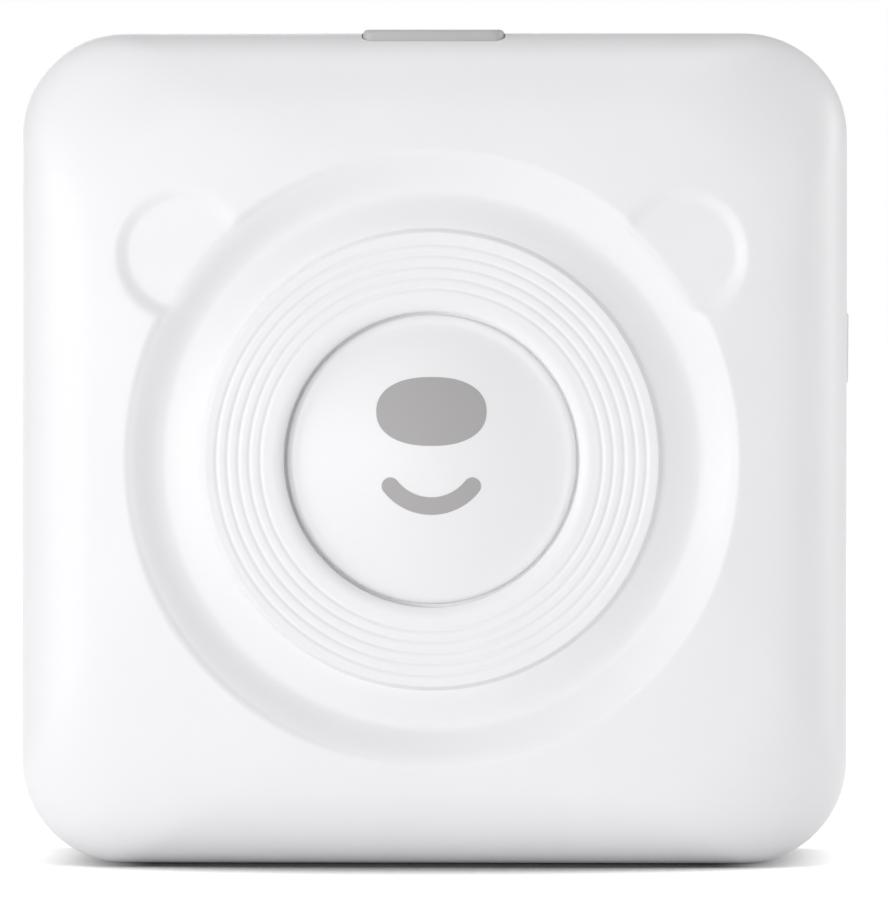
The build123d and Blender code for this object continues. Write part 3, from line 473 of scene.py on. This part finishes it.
def makeCover():
    # rays from the dish's axis: each row goes once round, from the cap's seat over the face,
    # round the edge arc, down the side wall, over the seam edge and back inside to the boss
    c, h = cover, housing
    angles = coverAngles()
    cosine, sine = np.cos(angles), np.sin(angles)
    rows = []

    def addRow(reach, y):
        x, z = reach * cosine, c["faceZ"] + reach * sine
        rows.append(np.stack([x, np.broadcast_to(y, x.shape), z], -1))

    one = np.ones_like(angles)
    for radius in (c["middleR"] / 2, c["middleR"], c["holeR"] - 0.1, c["holeR"]):
        addRow(radius * one, c["seatY"])
    holeTopY = c["ringY"] + 0.9 * c["lipDrop"]
    for share in (0.3, 0.7, 1.0):
        addRow(c["holeR"] * one, c["seatY"] + (holeTopY - c["seatY"]) * share)
    # face: the dish in steps of its own, then out to where the edge arc begins
    start = c["holeR"] + 0.01
    for end, count in c["faceStops"]:
        for radius in np.linspace(start, end, count, endpoint=False):
            reach = radius * one
            addRow(reach, faceY(reach * cosine, c["faceZ"] + reach * sine))
        start = end
    edgeReach = reachToOutline(angles, c["faceZ"], flatInset, cornerRadius(flatInset))
    for share in np.linspace(0, 1, c["edgeRows"], endpoint=False):
        reach = start + (edgeReach - start) * share
        addRow(reach, faceY(reach * cosine, c["faceZ"] + reach * sine))
    # edge arc, side wall and the rounded seam edge
    for turn in np.linspace(math.radians(c["crownSlope"]), math.pi / 2, c["arcRows"], endpoint=False):
        inset = c["edgeR"] * (1 - math.sin(turn))
        reach = reachToOutline(angles, c["faceZ"], inset, cornerRadius(inset))
        addRow(reach, arcCentreY - c["edgeR"] * math.cos(turn))
    outer = reachToOutline(angles, c["faceZ"], 0.0, h["cornerR"])
    for y in np.linspace(arcCentreY, h["coverEdgeY"] - h["seamRound"], 4):
        addRow(outer, y)
    for turn in (0.5, 1.0, math.pi / 2):
        inset = h["seamRound"] * (1 - math.cos(turn))
        addRow(outer - inset, h["coverEdgeY"] - h["seamRound"] * (1 - math.sin(turn)))
    # inside: straight wall, slope under the edge, flat roof and the boss behind the dish
    inner = reachToOutline(angles, c["faceZ"], h["wall"], h["cornerR"] - h["wall"])
    innerTop = reachToOutline(angles, c["faceZ"], c["innerTopInset"], c["innerTopCornerR"])
    addRow(inner, h["coverEdgeY"])
    addRow(inner, c["innerBendY"])
    addRow(innerTop, c["innerTopY"])
    addRow(c["bossR"] * one, c["innerTopY"])
    addRow(c["bossR"] * one, c["bossY"])
    addRow(c["middleR"] * one, c["bossY"])
    return closedGrid("cover_shell", np.array(rows))


hinge = {
    "y": -1.0,
    "z": 2.5,
    "r": 2.5,
    "gap": 0.3,
    "knuckleX": 24.0,
    "knuckleW": 6.0,
    "slotBack": 6.0,
    "slotBottom": -3.0,
    "trimFrontY": -6.0,
    "trimBackY": 4.0,
}
# the paper slot, half of it in each shell, and the height from which cuts from above start
slot = {
    "halfX": 29.3,
    "frontY": -2.6,
    "backY": 0.05,
    "depth": 4.0,
    "coverBottomZ": 86.7,
    "shellBottomZ": 84.0,
}
aboveZ = 92.0
button = {
    "halfX": 7.6,
    "frontY": -13.2,
    "backY": -7.4,
    "topZ": 90.4,
    "bottomZ": 86.9,
    "cornerR": 1.1,
    "bevel": 0.45,
    "clear": 0.15,
    "holeR": 1.2,
    "holeBottomZ": 84.2,
    "tabWidth": 18.0,
    "tabDepth": 2.6,
    "tabBack": 1.0,
    "tabTopZ": 87.7,
    "footWidth": 13.0,
    "footDepth": 2.0,
    "footY": -10.8,
    "footBottomZ": 85.6,
    "footTopZ": 87.0,
}


def knuckleCutters(extra):
    # round slot round the hinge axis, open downwards and backwards, one for each knuckle
    cutters = []
    for side in (-1, 1):
        middle = side * (hinge["knuckleX"] + hinge["knuckleW"] / 2)
        half = hinge["knuckleW"] / 2 + extra
        radius = hinge["r"] + extra
        turn = np.linspace(0, math.pi, 25)
        over = np.stack([hinge["y"] + radius * np.cos(turn), hinge["z"] + radius * np.sin(turn)], -1)
        back, bottom = hinge["y"] + hinge["slotBack"], hinge["slotBottom"]
        outline = np.vstack([[[back, bottom], [back, hinge["z"]]], over, [[hinge["y"] - radius, bottom]]])
        cutters.append(prism("knuckle_cut", outline, 0, middle - half, middle + half))
    return cutters


coverShell = makeCover()
buttonMiddle = (button["frontY"] + button["backY"]) / 2
buttonDepth = button["backY"] - button["frontY"]
buttonHole = roundedBox(
    2 * (button["halfX"] + button["clear"]),
    buttonDepth + 2 * button["clear"],
    button["holeR"],
    (0, buttonMiddle),
)
coverSlot = roundedBox(2 * slot["halfX"], slot["depth"], 0.3, (0, slot["frontY"] + slot["depth"] / 2))
holes = knuckleCutters(hinge["gap"])
holes.append(prism("button_cut", buttonHole, 2, button["holeBottomZ"], aboveZ))
holes.append(prism("slot_cut", coverSlot, 2, slot["coverBottomZ"], aboveZ))
combine(coverShell, holes, "DIFFERENCE")
finishPiece(coverShell, finishes["white_abs"], "cover", crease=60)
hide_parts("front_cover")
print("cover shell:", len(coverShell.data.polygons), "faces")


def joinPieces(name, pieces):
    # one mesh from several
    work = bmesh.new()
    for piece in pieces:
        work.from_mesh(piece.data)
        bpy.data.objects.remove(piece)
    mesh = bpy.data.meshes.new(name)
    work.to_mesh(mesh)
    work.free()
    joined = bpy.data.objects.new(name, mesh)
    bpy.context.scene.collection.objects.link(joined)
    return joined


def makeBarrel():
    # hinge barrel along the lower edge in three lengths between the knuckles, trimmed by the corners
    inner = hinge["knuckleX"] - hinge["gap"]
    outer = hinge["knuckleX"] + hinge["knuckleW"] + hinge["gap"]
    rim = roundedBox(2 * halfWidth, 2 * halfHeight, housing["cornerR"], (0, halfHeight), 24)
    lengths = []
    for start, end in [(-halfWidth - 1, -outer), (-inner, inner), (outer, halfWidth + 1)]:
        length = prism("barrel", circle(hinge["r"], (hinge["y"], hinge["z"]), 64), 0, start, end)
        trim = prism("trim", rim, 1, hinge["trimFrontY"], hinge["trimBackY"])
        combine(length, [trim], "INTERSECT")
        lengths.append(tidyNormals(length))
    return joinPieces("cover_barrel", lengths)


finishPiece(makeBarrel(), finishes["white_abs"], "cover")


# screw bosses: those of the cover hold the liner, those of the case the chassis
coverBoss = {"points": [(37, 60), (-37, 60), (37, 18), (-37, 18)], "r": 2.6, "start": -11.0, "end": -17.6}
caseBoss = {"points": [(-20, 8.5), (20, 8.5), (36.5, 20), (-36.5, 66)], "r": 3.0, "start": 8.0, "end": 19.2}
bore = {"r": 0.86, "depth": 4.4}


def makeBosses(name, boss):
    # round screw bosses along Y from their free ends inwards, each with its bore
    start, end = boss["start"], boss["end"]
    inwards = math.copysign(1, end - start)
    boreEnd = start + bore["depth"] * inwards
    pieces = []
    for x, z in boss["points"]:
        post = prism(name, circle(boss["r"], (x, z), 32), 1, start, end)
        hole = prism("bore", circle(bore["r"], (x, z), 20), 1, start - inwards, boreEnd)
        pieces.append(combine(post, [hole], "DIFFERENCE"))
    return joinPieces(name, pieces)


finishPiece(makeBosses("cover_bosses", coverBoss), finishes["white_abs"], "cover")

# Nose cap: a domed disc with a rounded edge, standing in the hole of the dish

cap = {
    "r": 15.65,
    "edgeR": 1.0,
    "edgeDrop": 0.55,
    "topY": -19.93,
    "edgeY": -17.5,
    "middleR": 0.6,
    "backR": 8.0,
    "rings": 40,
    "columns": 240,
}


def capY(radius):
    # dome as part of a sphere through the top and the edge
    rise = cap["edgeY"] - cap["topY"]
    domeR = (cap["r"] ** 2 + rise**2) / (2 * rise)
    return cap["topY"] + domeR - np.sqrt(domeR**2 - radius**2)


def makeCap():
    # turned profile of (radius, y): the dome, a quarter ellipse at its edge, a straight side and a flat back
    turn = np.linspace(0, 2 * math.pi, cap["columns"], endpoint=False)
    domeEnd = cap["r"] - cap["edgeR"]
    stations = [(r, float(capY(np.array(r)))) for r in np.linspace(cap["middleR"], domeEnd, cap["rings"])]
    edgeTop = stations[-1][1]
    for angle in np.linspace(0.25, math.pi / 2, 6):
        reach = cap["r"] - cap["edgeR"] * (1 - math.sin(angle))
        stations.append((reach, edgeTop + cap["edgeDrop"] * (1 - math.cos(angle))))
    stations += [(cap["r"], cover["seatY"]), (cap["backR"], cover["seatY"])]
    grid = []
    for r, y in stations:
        ring = [r * np.cos(turn), np.full_like(turn, y), cover["faceZ"] + r * np.sin(turn)]
        grid.append(np.stack(ring, -1))
    return closedGrid("nose_cap_dome", np.array(grid))


noseCap = makeCap()
finishPiece(noseCap, finishes["white_abs"], "cover")
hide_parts("nose_cap")
print("nose cap made")

# Nose print: a plain oval and a short curved mouth, pad printed on the dome


def printedInk(name, colour):
    # pad printing ink: a matt film, a little rougher than the plastic round it
    material = newMaterial(name)
    tree = material.node_tree
    place = addNode(tree, "ShaderNodeTexCoord").outputs["Object"]
    grain = addNode(tree, "ShaderNodeTexNoise", {"Vector": place, "Scale": 1 / (0.3 * mm)})
    gloss = addNode(
        tree, "ShaderNodeMapRange", {"Value": grain.outputs["Fac"], "To Min": 0.46, "To Max": 0.56}
    )
    shader = addNode(
        tree,
        "ShaderNodeBsdfPrincipled",
        {"Base Color": linearColour(colour), "Roughness": gloss.outputs["Result"], "IOR": 1.5},
    )
    addNode(tree, "ShaderNodeOutputMaterial", {"Surface": shader.outputs["BSDF"]})
    return material


ink = printedInk("pad_ink_grey_printed", "adabac")
nosePrint = {
    "film": 0.03,
    "ovalWidth": 11.9,
    "ovalHeight": 7.4,
    "ovalZ": 5.2,
    "widthPower": 0.85,
    "heightPower": 0.9,
    "mouthR": 5.6,
    "mouthZ": 0.6,
    "mouthTurn": math.radians(52),
    "mouthHalf": 0.95,
}


def printedSheet(name, x, z, closed, film):
    # a flat shape laid on the dome, given as grids of x and z from the face axis
    y = capY(np.hypot(x, z)) - film
    grid = np.stack([x, y, cover["faceZ"] + z], -1)
    sheet = addMesh(name, grid.reshape(-1, 3), gridFaces(grid.shape[0], grid.shape[1], closed).tolist())
    if sheet.data.polygons[0].normal.y > 0:
        sheet.data.flip_normals()
    finishPiece(sheet, ink, "cover")
    return sheet


def strokeOutline(points, half):
    # grid of x and z along a stroke of even width: at each station the middle line plus and minus the
    # half width across it, and beyond the ends the half width of a circle, the root of half² less beyond²
    points = np.asarray(points)
    run = np.concatenate([[0], np.cumsum(np.hypot(*np.diff(points, axis=0).T))])
    total = run[-1]
    bend = np.linspace(0, math.pi / 2, 9)
    stations = np.concatenate([-half * np.cos(bend), np.linspace(0, total, 48), total + half * np.sin(bend)])
    beyond = np.maximum(np.maximum(-stations, stations - total), 0)
    reach = np.sqrt(np.maximum(half**2 - beyond**2, 0))
    inside = np.clip(stations, 0, total)
    middle = np.stack([np.interp(inside, run, points[:, k]) for k in (0, 1)], -1)
    along = np.gradient(middle, axis=0)
    start, end = points[1] - points[0], points[-1] - points[-2]
    along[stations <= 0] = start
    along[stations >= total] = end
    along /= np.hypot(along[:, 0], along[:, 1])[:, None]
    middle += along * (stations - inside)[:, None]
    across = np.linspace(-1, 1, 9)[None, :] * reach[:, None]
    return middle[:, :1] - across * along[:, 1:], middle[:, 1:] + across * along[:, :1]


def makeNosePrint():
    # the oval is a superellipse: half width times a power of cosine, half height times a power of sine
    p = nosePrint
    turn = np.linspace(0, 2 * math.pi, 96, endpoint=False)[None, :]
    share = np.concatenate([[0.0], np.linspace(0.1, 1, 20)])[:, None]
    cosine, sine = np.cos(turn), np.sin(turn)
    ovalX = share * p["ovalWidth"] / 2 * np.sign(cosine) * np.abs(cosine) ** p["widthPower"]
    ovalZ = p["ovalZ"] + share * p["ovalHeight"] / 2 * np.sign(sine) * np.abs(sine) ** p["heightPower"]
    printedSheet("nose_print_oval", ovalX, ovalZ, True, p["film"])
    # the mouth is one shallow arc on its own, clear of the oval
    bend = np.linspace(-p["mouthTurn"], p["mouthTurn"], 40)
    arcX = p["mouthR"] * np.sin(bend)
    arcZ = p["mouthZ"] - p["mouthR"] * np.cos(bend)
    mouthX, mouthZ = strokeOutline(np.stack([arcX, arcZ], -1), p["mouthHalf"])
    printedSheet("nose_print_mouth", mouthX, mouthZ, False, p["film"])


makeNosePrint()
print("nose print made")

# Rear shell

shell = {"edgeR": 4.0, "innerY": 18.7, "floorRound": 1.0, "middleShare": 0.3, "columns": 256}


def makeRearShell():
    # rays from the middle: over the inside floor, up the inside wall, over the seam edge,
    # down the outside and round a quarter arc to the back
    h = housing
    angles = np.linspace(0, 2 * math.pi, shell["columns"], endpoint=False) + 0.001
    cosine, sine = np.cos(angles), np.sin(angles)
    rows = []

    def addRow(reach, y):
        rows.append(np.stack([reach * cosine, np.full_like(angles, y), halfHeight + reach * sine], -1))

    def reachFor(inset, radius):
        return reachToOutline(angles, halfHeight, inset, radius)

    innerWall = reachFor(h["wall"], h["cornerR"] - h["wall"])
    floorInset = h["wall"] + shell["floorRound"]
    addRow(shell["middleShare"] * innerWall, shell["innerY"])
    addRow(reachFor(floorInset, h["cornerR"] - floorInset), shell["innerY"])
    addRow(innerWall, shell["innerY"] - shell["floorRound"])
    addRow(innerWall, h["shellEdgeY"])
    outer = reachFor(0.0, h["cornerR"])
    for turn in (math.pi / 2, 1.0, 0.5, 0.0):
        inset = h["seamRound"] * (1 - math.cos(turn))
        addRow(outer - inset, h["shellEdgeY"] + h["seamRound"] * (1 - math.sin(turn)))
    for turn in np.linspace(0, math.pi / 2, 16):
        inset = shell["edgeR"] * (1 - math.cos(turn))
        y = h["backY"] - shell["edgeR"] * (1 - math.sin(turn))
        addRow(reachFor(inset, h["cornerR"] - inset), y)
    addRow(shell["middleShare"] * outer, h["backY"])
    return closedGrid("rear_shell_tray", np.array(rows))


power = {
    "y": 14.0,
    "z": 55.5,
    "w": 5.0,
    "h": 7.8,
    "cornerR": 1.1,
    "holeR": 1.2,
    "proud": 0.22,
    "clear": 0.15,
    "bevel": 0.35,
    "innerX": 42.8,
    "flangeOverW": 0.8,
    "flangeOverH": 1.6,
    "flangeFront": 0.4,
    "flangeR": 0.3,
    "flangeX": (42.1, 42.85),
}
usb = {"y": 15.3, "z": 38.0, "w": 4.0, "h": 9.7, "cornerR": 1.9}
sideCutX = (41.0, 47.0)
trough = {"halfX": 46.0, "bottomZ": -4.0}
rearShell = makeRearShell()
barrelRoom = hinge["r"] + hinge["gap"]
troughOutline = np.vstack(
    [
        circle(barrelRoom, (hinge["y"], hinge["z"]), 48)[:25],
        [[hinge["y"] - barrelRoom, trough["bottomZ"]], [hinge["y"] + barrelRoom, trough["bottomZ"]]],
    ]
)
shellSlot = roundedBox(2 * slot["halfX"], slot["depth"], 0.1, (0, slot["backY"] - slot["depth"] / 2))
keyHole = roundedBox(
    power["w"] + 2 * power["clear"], power["h"] + 2 * power["clear"], power["holeR"], (power["y"], power["z"])
)
portHole = roundedBox(usb["w"], usb["h"], usb["cornerR"], (usb["y"], usb["z"]))
cuts = [
    prism("trough_cut", troughOutline, 0, -trough["halfX"], trough["halfX"]),
    prism("slot_cut", shellSlot, 2, slot["shellBottomZ"], aboveZ),
    prism("key_cut", keyHole, 0, *sideCutX),
    prism("port_cut", portHole, 0, *sideCutX),
]
combine(rearShell, cuts, "DIFFERENCE")
finishPiece(rearShell, finishes["white_abs"], "case")
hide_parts("rear_shell")


# what stands on the shell inside: the knuckles' tails, the catches of the latch and the blade's rib
details = {
    "knuckleTail": 4.5,
    "catchX": 34.25,
    "catchY": -0.2,
    "catchWidth": 3.8,
    "catchDepth": 1.3,
    "catchBottomZ": 86.6,
    "ribWidth": 58.0,
    "ribDepth": 1.6,
    "ribY": 0.85,
    "ribBottomZ": 84.6,
    "cornerR": 0.2,
    "topZ": 88.7,
}


def makeShellDetails():
    # knuckles round three quarters of the hinge axis, the two catches and the rib
    d = details
    parts = []
    for side in (-1, 1):
        middle = side * (hinge["knuckleX"] + hinge["knuckleW"] / 2)
        half = hinge["knuckleW"] / 2
        turn = np.linspace(0, math.pi * 1.5, 40)
        y = hinge["y"] + hinge["r"] * np.cos(turn)
        z = hinge["z"] + hinge["r"] * np.sin(turn)
        tail = hinge["y"] + d["knuckleTail"]
        outline = np.vstack([np.stack([y, z], -1), [[tail, 0.0], [tail, hinge["z"]]]])
        parts.append(prism("knuckle", outline, 0, middle - half, middle + half))
        catch = roundedBox(d["catchWidth"], d["catchDepth"], d["cornerR"], (side * d["catchX"], d["catchY"]))
        parts.append(prism("catch", catch, 2, d["catchBottomZ"], d["topZ"]))
    rib = roundedBox(d["ribWidth"], d["ribDepth"], d["cornerR"], (0, d["ribY"]))
    parts.append(prism("blade_rib", rib, 2, d["ribBottomZ"], d["topZ"]))
    return joinPieces("rear_shell_details", parts)


finishPiece(makeShellDetails(), finishes["white_abs"], "case")


# lip inside the seam: insets from the outline, and the turns at which it ends in the corners
lip = {"root": 1.5, "outer": 1.95, "inner": 2.5, "frontY": -2.3, "stepY": -0.75, "backY": 1.2}
lipTurns = {"low": -25, "high": 69}


def makeSeamLip(side):
    # one section carried from above the hinge up the side and round the top corner
    low = np.radians(np.linspace(lipTurns["low"], 0, 6))
    bend = np.radians(np.linspace(0, lipTurns["high"], 14))
    section = [
        (lip["outer"], lip["frontY"]),
        (lip["inner"], lip["frontY"]),
        (lip["inner"], lip["backY"]),
        (lip["root"], lip["backY"]),
        (lip["root"], lip["stepY"]),
        (lip["outer"], lip["stepY"]),
    ]
    middle = halfWidth - housing["cornerR"]
    rings = []
    for inset, y in section:
        reach = housing["cornerR"] - inset
        x = middle + reach * np.cos(np.concatenate([low, bend]))
        bottom = housing["cornerR"] + reach * np.sin(low)
        top = housing["height"] - housing["cornerR"] + reach * np.sin(bend)
        rings.append(np.stack([side * x, np.full_like(x, y), np.concatenate([bottom, top])], -1))
    # stations run along the lip, the section runs round it
    return closedGrid("seam_lip", np.array(rings).transpose(1, 0, 2))


seamLip = joinPieces("rear_shell_lip", [makeSeamLip(1), makeSeamLip(-1)])
finishPiece(seamLip, finishes["white_abs"], "case")
finishPiece(makeBosses("rear_shell_bosses", caseBoss), finishes["white_abs"], "case")
print("rear shell made")

# Open button and power key


def makeButton():
    # the tab with a rounded top edge, its side tabs under the cover and the foot that drives the latch
    b = button
    top = roundedBox(2 * b["halfX"], buttonDepth, b["cornerR"], (0, buttonMiddle), 10)
    block = prism("button_block", top, 2, b["bottomZ"], b["topZ"], bevel=b["bevel"])
    tab = roundedBox(b["tabWidth"], b["tabDepth"], 0.2, (0, buttonMiddle + b["tabBack"]))
    foot = roundedBox(b["footWidth"], b["footDepth"], 0.2, (0, b["footY"]))
    tabs = prism("button_tabs", tab, 2, b["bottomZ"], b["tabTopZ"])
    driver = prism("button_foot", foot, 2, b["footBottomZ"], b["footTopZ"])
    return joinPieces("open_button_tab", [block, tabs, driver])


openButton = makeButton()
finishPiece(openButton, finishes["grey_abs"], "latch", crease=40)
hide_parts("open_button")


def makeKey():
    # the key with a rounded outer edge, and the flange that keeps it in its hole
    p = power
    outline = roundedBox(p["w"], p["h"], p["cornerR"], (p["y"], p["z"]), 10)
    block = prism("key_block", outline, 0, p["innerX"], halfWidth + p["proud"], bevel=p["bevel"])
    middle = (p["y"] - p["flangeFront"], p["z"])
    plate = roundedBox(p["w"] + p["flangeOverW"], p["h"] + p["flangeOverH"], p["flangeR"], middle)
    return joinPieces("power_key_cap", [block, prism("key_flange", plate, 0, *p["flangeX"])])


powerKey = makeKey()
finishPiece(powerKey, finishes["white_abs"], "power", crease=40)
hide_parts("power_key")
print("button and key made")

# Floor, light and camera

studio = {
    "cameraAway": 1500.0,
    "azimuth": 1.6,
    "elevation": 1.5,
    "skyLevel": 0.35,
    "lampAim": (0, -12, 45),
    # the photograph's frame in pixels, and where the object's edges lie in it
    "pixelsPerMm": 9.218,
    "frameWidth": 888,
    "frameHeight": 911,
    "objectLeft": 21.5,
    "objectRight": 846.5,
    "objectTop": 34.0,
    "objectBottom": 863.0,
    "faceY": -9.5,
    "sensor": 36.0,
}
# the floor's contact shadow: how far it reaches, from which share of open sky to which it fades,
# and how far aside of the middle it fades as well
shadow = {"reach": 80.0, "darkSky": 0.46, "clearSky": 0.76, "asideFrom": 30, "asideTo": 46, "asideMost": 0.8}
paperWhite, paperShaded, paperGlow = "f4f4f4", "585858", 0.8


def makeFloor():
    # white paper under the object: seen directly it is white, and it keeps the object's soft shadow
    size = 3.0 / mm
    corners = [[-size, -size, 0], [size, -size, 0], [size, size, 0], [-size, size, 0]]
    floor = addMesh("floor", corners, [[0, 1, 2, 3]])
    material = newMaterial("floor_paper_white")
    tree = material.node_tree
    rays = addNode(tree, "ShaderNodeLightPath")
    direct = addNode(
        tree,
        "ShaderNodeMath",
        {0: rays.outputs["Is Camera Ray"], 1: rays.outputs["Is Glossy Ray"]},
        operation="MAXIMUM",
    )
    clear = addNode(
        tree,
        "ShaderNodeMath",
        {0: direct.outputs[0], 1: rays.outputs["Is Transmission Ray"]},
        operation="MAXIMUM",
    )
    paper = addNode(tree, "ShaderNodeBsdfDiffuse", {"Color": linearColour(paperWhite)})
    # contact shadow: dark where the sky is hidden, fading out beside the object's rounded corners
    near = addNode(tree, "ShaderNodeAmbientOcclusion", {"Distance": shadow["reach"] * mm}, samples=16)
    openSky = addNode(
        tree,
        "ShaderNodeMapRange",
        {"Value": near.outputs["AO"], "From Min": shadow["darkSky"], "From Max": shadow["clearSky"]},
        interpolation_type="SMOOTHSTEP",
    )
    place = addNode(tree, "ShaderNodeTexCoord").outputs["Object"]
    across = addNode(tree, "ShaderNodeSeparateXYZ", {"Vector": place})
    aside = addNode(tree, "ShaderNodeMath", {0: across.outputs["X"]}, operation="ABSOLUTE")
    beside = addNode(
        tree,
        "ShaderNodeMapRange",
        {
            "Value": aside.outputs[0],
            "From Min": shadow["asideFrom"] * mm,
            "From Max": shadow["asideTo"] * mm,
            "To Max": shadow["asideMost"],
        },
        interpolation_type="SMOOTHSTEP",
    )
    lit = addNode(
        tree,
        "ShaderNodeMath",
        {0: openSky.outputs["Result"], 1: beside.outputs["Result"]},
        operation="MAXIMUM",
    )
    tone = addNode(
        tree,
        "ShaderNodeMix",
        {"Factor": lit.outputs[0], "A": linearColour(paperShaded), "B": linearColour(paperWhite)},
        data_type="RGBA",
    )
    seen = addNode(tree, "ShaderNodeBsdfDiffuse", {"Color": tone.outputs["Result"]})
    strength = addNode(tree, "ShaderNodeMath", {0: lit.outputs[0], 1: paperGlow}, operation="MULTIPLY")
    glow = addNode(tree, "ShaderNodeEmission", {"Color": (1, 1, 1, 1), "Strength": strength.outputs[0]})
    both = addNode(tree, "ShaderNodeAddShader", {0: seen.outputs["BSDF"], 1: glow.outputs["Emission"]})
    mix = addNode(
        tree,
        "ShaderNodeMixShader",
        {0: clear.outputs[0], 1: paper.outputs["BSDF"], 2: both.outputs["Shader"]},
    )
    addNode(tree, "ShaderNodeOutputMaterial", {"Surface": mix.outputs["Shader"]})
    floor.data.materials.append(material)


def makeWorld():
    # an even dim sky for light, white where the camera looks past the object
    world = bpy.data.worlds.new("studio")
    bpy.context.scene.world = world
    world.use_nodes = True
    tree = world.node_tree
    tree.nodes.clear()
    rays = addNode(tree, "ShaderNodeLightPath")
    direct = addNode(
        tree,
        "ShaderNodeMath",
        {0: rays.outputs["Is Camera Ray"], 1: rays.outputs["Is Transmission Ray"]},
        operation="MAXIMUM",
    )
    soft = addNode(tree, "ShaderNodeBackground", {"Color": (1, 1, 1, 1), "Strength": studio["skyLevel"]})
    white = addNode(tree, "ShaderNodeBackground", {"Color": (1, 1, 1, 1), "Strength": 1.0})
    mix = addNode(
        tree,
        "ShaderNodeMixShader",
        {0: direct.outputs[0], 1: soft.outputs["Background"], 2: white.outputs["Background"]},
    )
    addNode(tree, "ShaderNodeOutputWorld", {"Surface": mix.outputs["Shader"]})


def addLamp(name, place, aim, size, power):
    # square softbox at a point, turned to another, in millimetres and watts
    data = bpy.data.lights.new(name, "AREA")
    data.size = size * mm
    data.energy = power
    lamp = bpy.data.objects.new(name, data)
    lamp.location = Vector(place) * mm
    lamp.rotation_euler = (Vector(aim) - Vector(place)).to_track_quat("-Z", "Y").to_euler()
    bpy.context.scene.collection.objects.link(lamp)
    return lamp


def makeCamera():
    # long lens along the photo's viewing angle, set aside so that the object lies where it does in the frame
    s = studio
    centreX = (s["objectLeft"] + s["objectRight"]) / 2
    centreY = (s["objectTop"] + s["objectBottom"]) / 2
    azimuth, elevation = math.radians(s["azimuth"]), math.radians(s["elevation"])
    level = math.cos(elevation)
    back = Vector((math.sin(azimuth) * level, -math.cos(azimuth) * level, math.sin(elevation)))
    right = Vector((math.cos(azimuth), math.sin(azimuth), 0))
    up = back.cross(right)
    middle = Vector((0, s["faceY"], halfHeight))
    middle += right * (s["frameWidth"] / 2 - centreX) / s["pixelsPerMm"]
    middle -= up * (s["frameHeight"] / 2 - centreY) / s["pixelsPerMm"]
    data = bpy.data.cameras.new("camera")
    data.sensor_width = s["sensor"]
    data.lens = s["sensor"] * s["cameraAway"] / (s["frameHeight"] / s["pixelsPerMm"])
    data.clip_start, data.clip_end = 0.05, 20.0
    camera = bpy.data.objects.new("camera", data)
    camera.location = (middle + back * s["cameraAway"]) * mm
    camera.rotation_euler = (-back).to_track_quat("-Z", "Y").to_euler()
    bpy.context.scene.collection.objects.link(camera)
    bpy.context.scene.camera = camera


makeFloor()
makeWorld()
# softboxes low to the left and in front, a rim light on the right, one above and one behind
lamps = [  # name, place and size in millimetres, watts
    ("side_left", (-1000, -250, 200), 420, 1.2),
    ("low_left", (-860, -520, 120), 220, 1.15),
    ("front_left", (-500, -650, 75), 140, 1.0),
    ("front_middle", (-170, -700, 70), 130, 0.8),
    ("front_right", (650, -850, 200), 260, 0.9),
    ("rim_right", (930, 250, 250), 420, 2.6),
    ("top", (0, -50, 1000), 600, 1.9),
    ("behind", (-250, 950, 230), 420, 2.0),
]
for lampName, lampPlace, lampSize, lampPower in lamps:
    addLamp(lampName, lampPlace, studio["lampAim"], lampSize, lampPower)
makeCamera()
bpy.context.scene.view_settings.view_transform = "Standard"
print("stage, light and camera made")
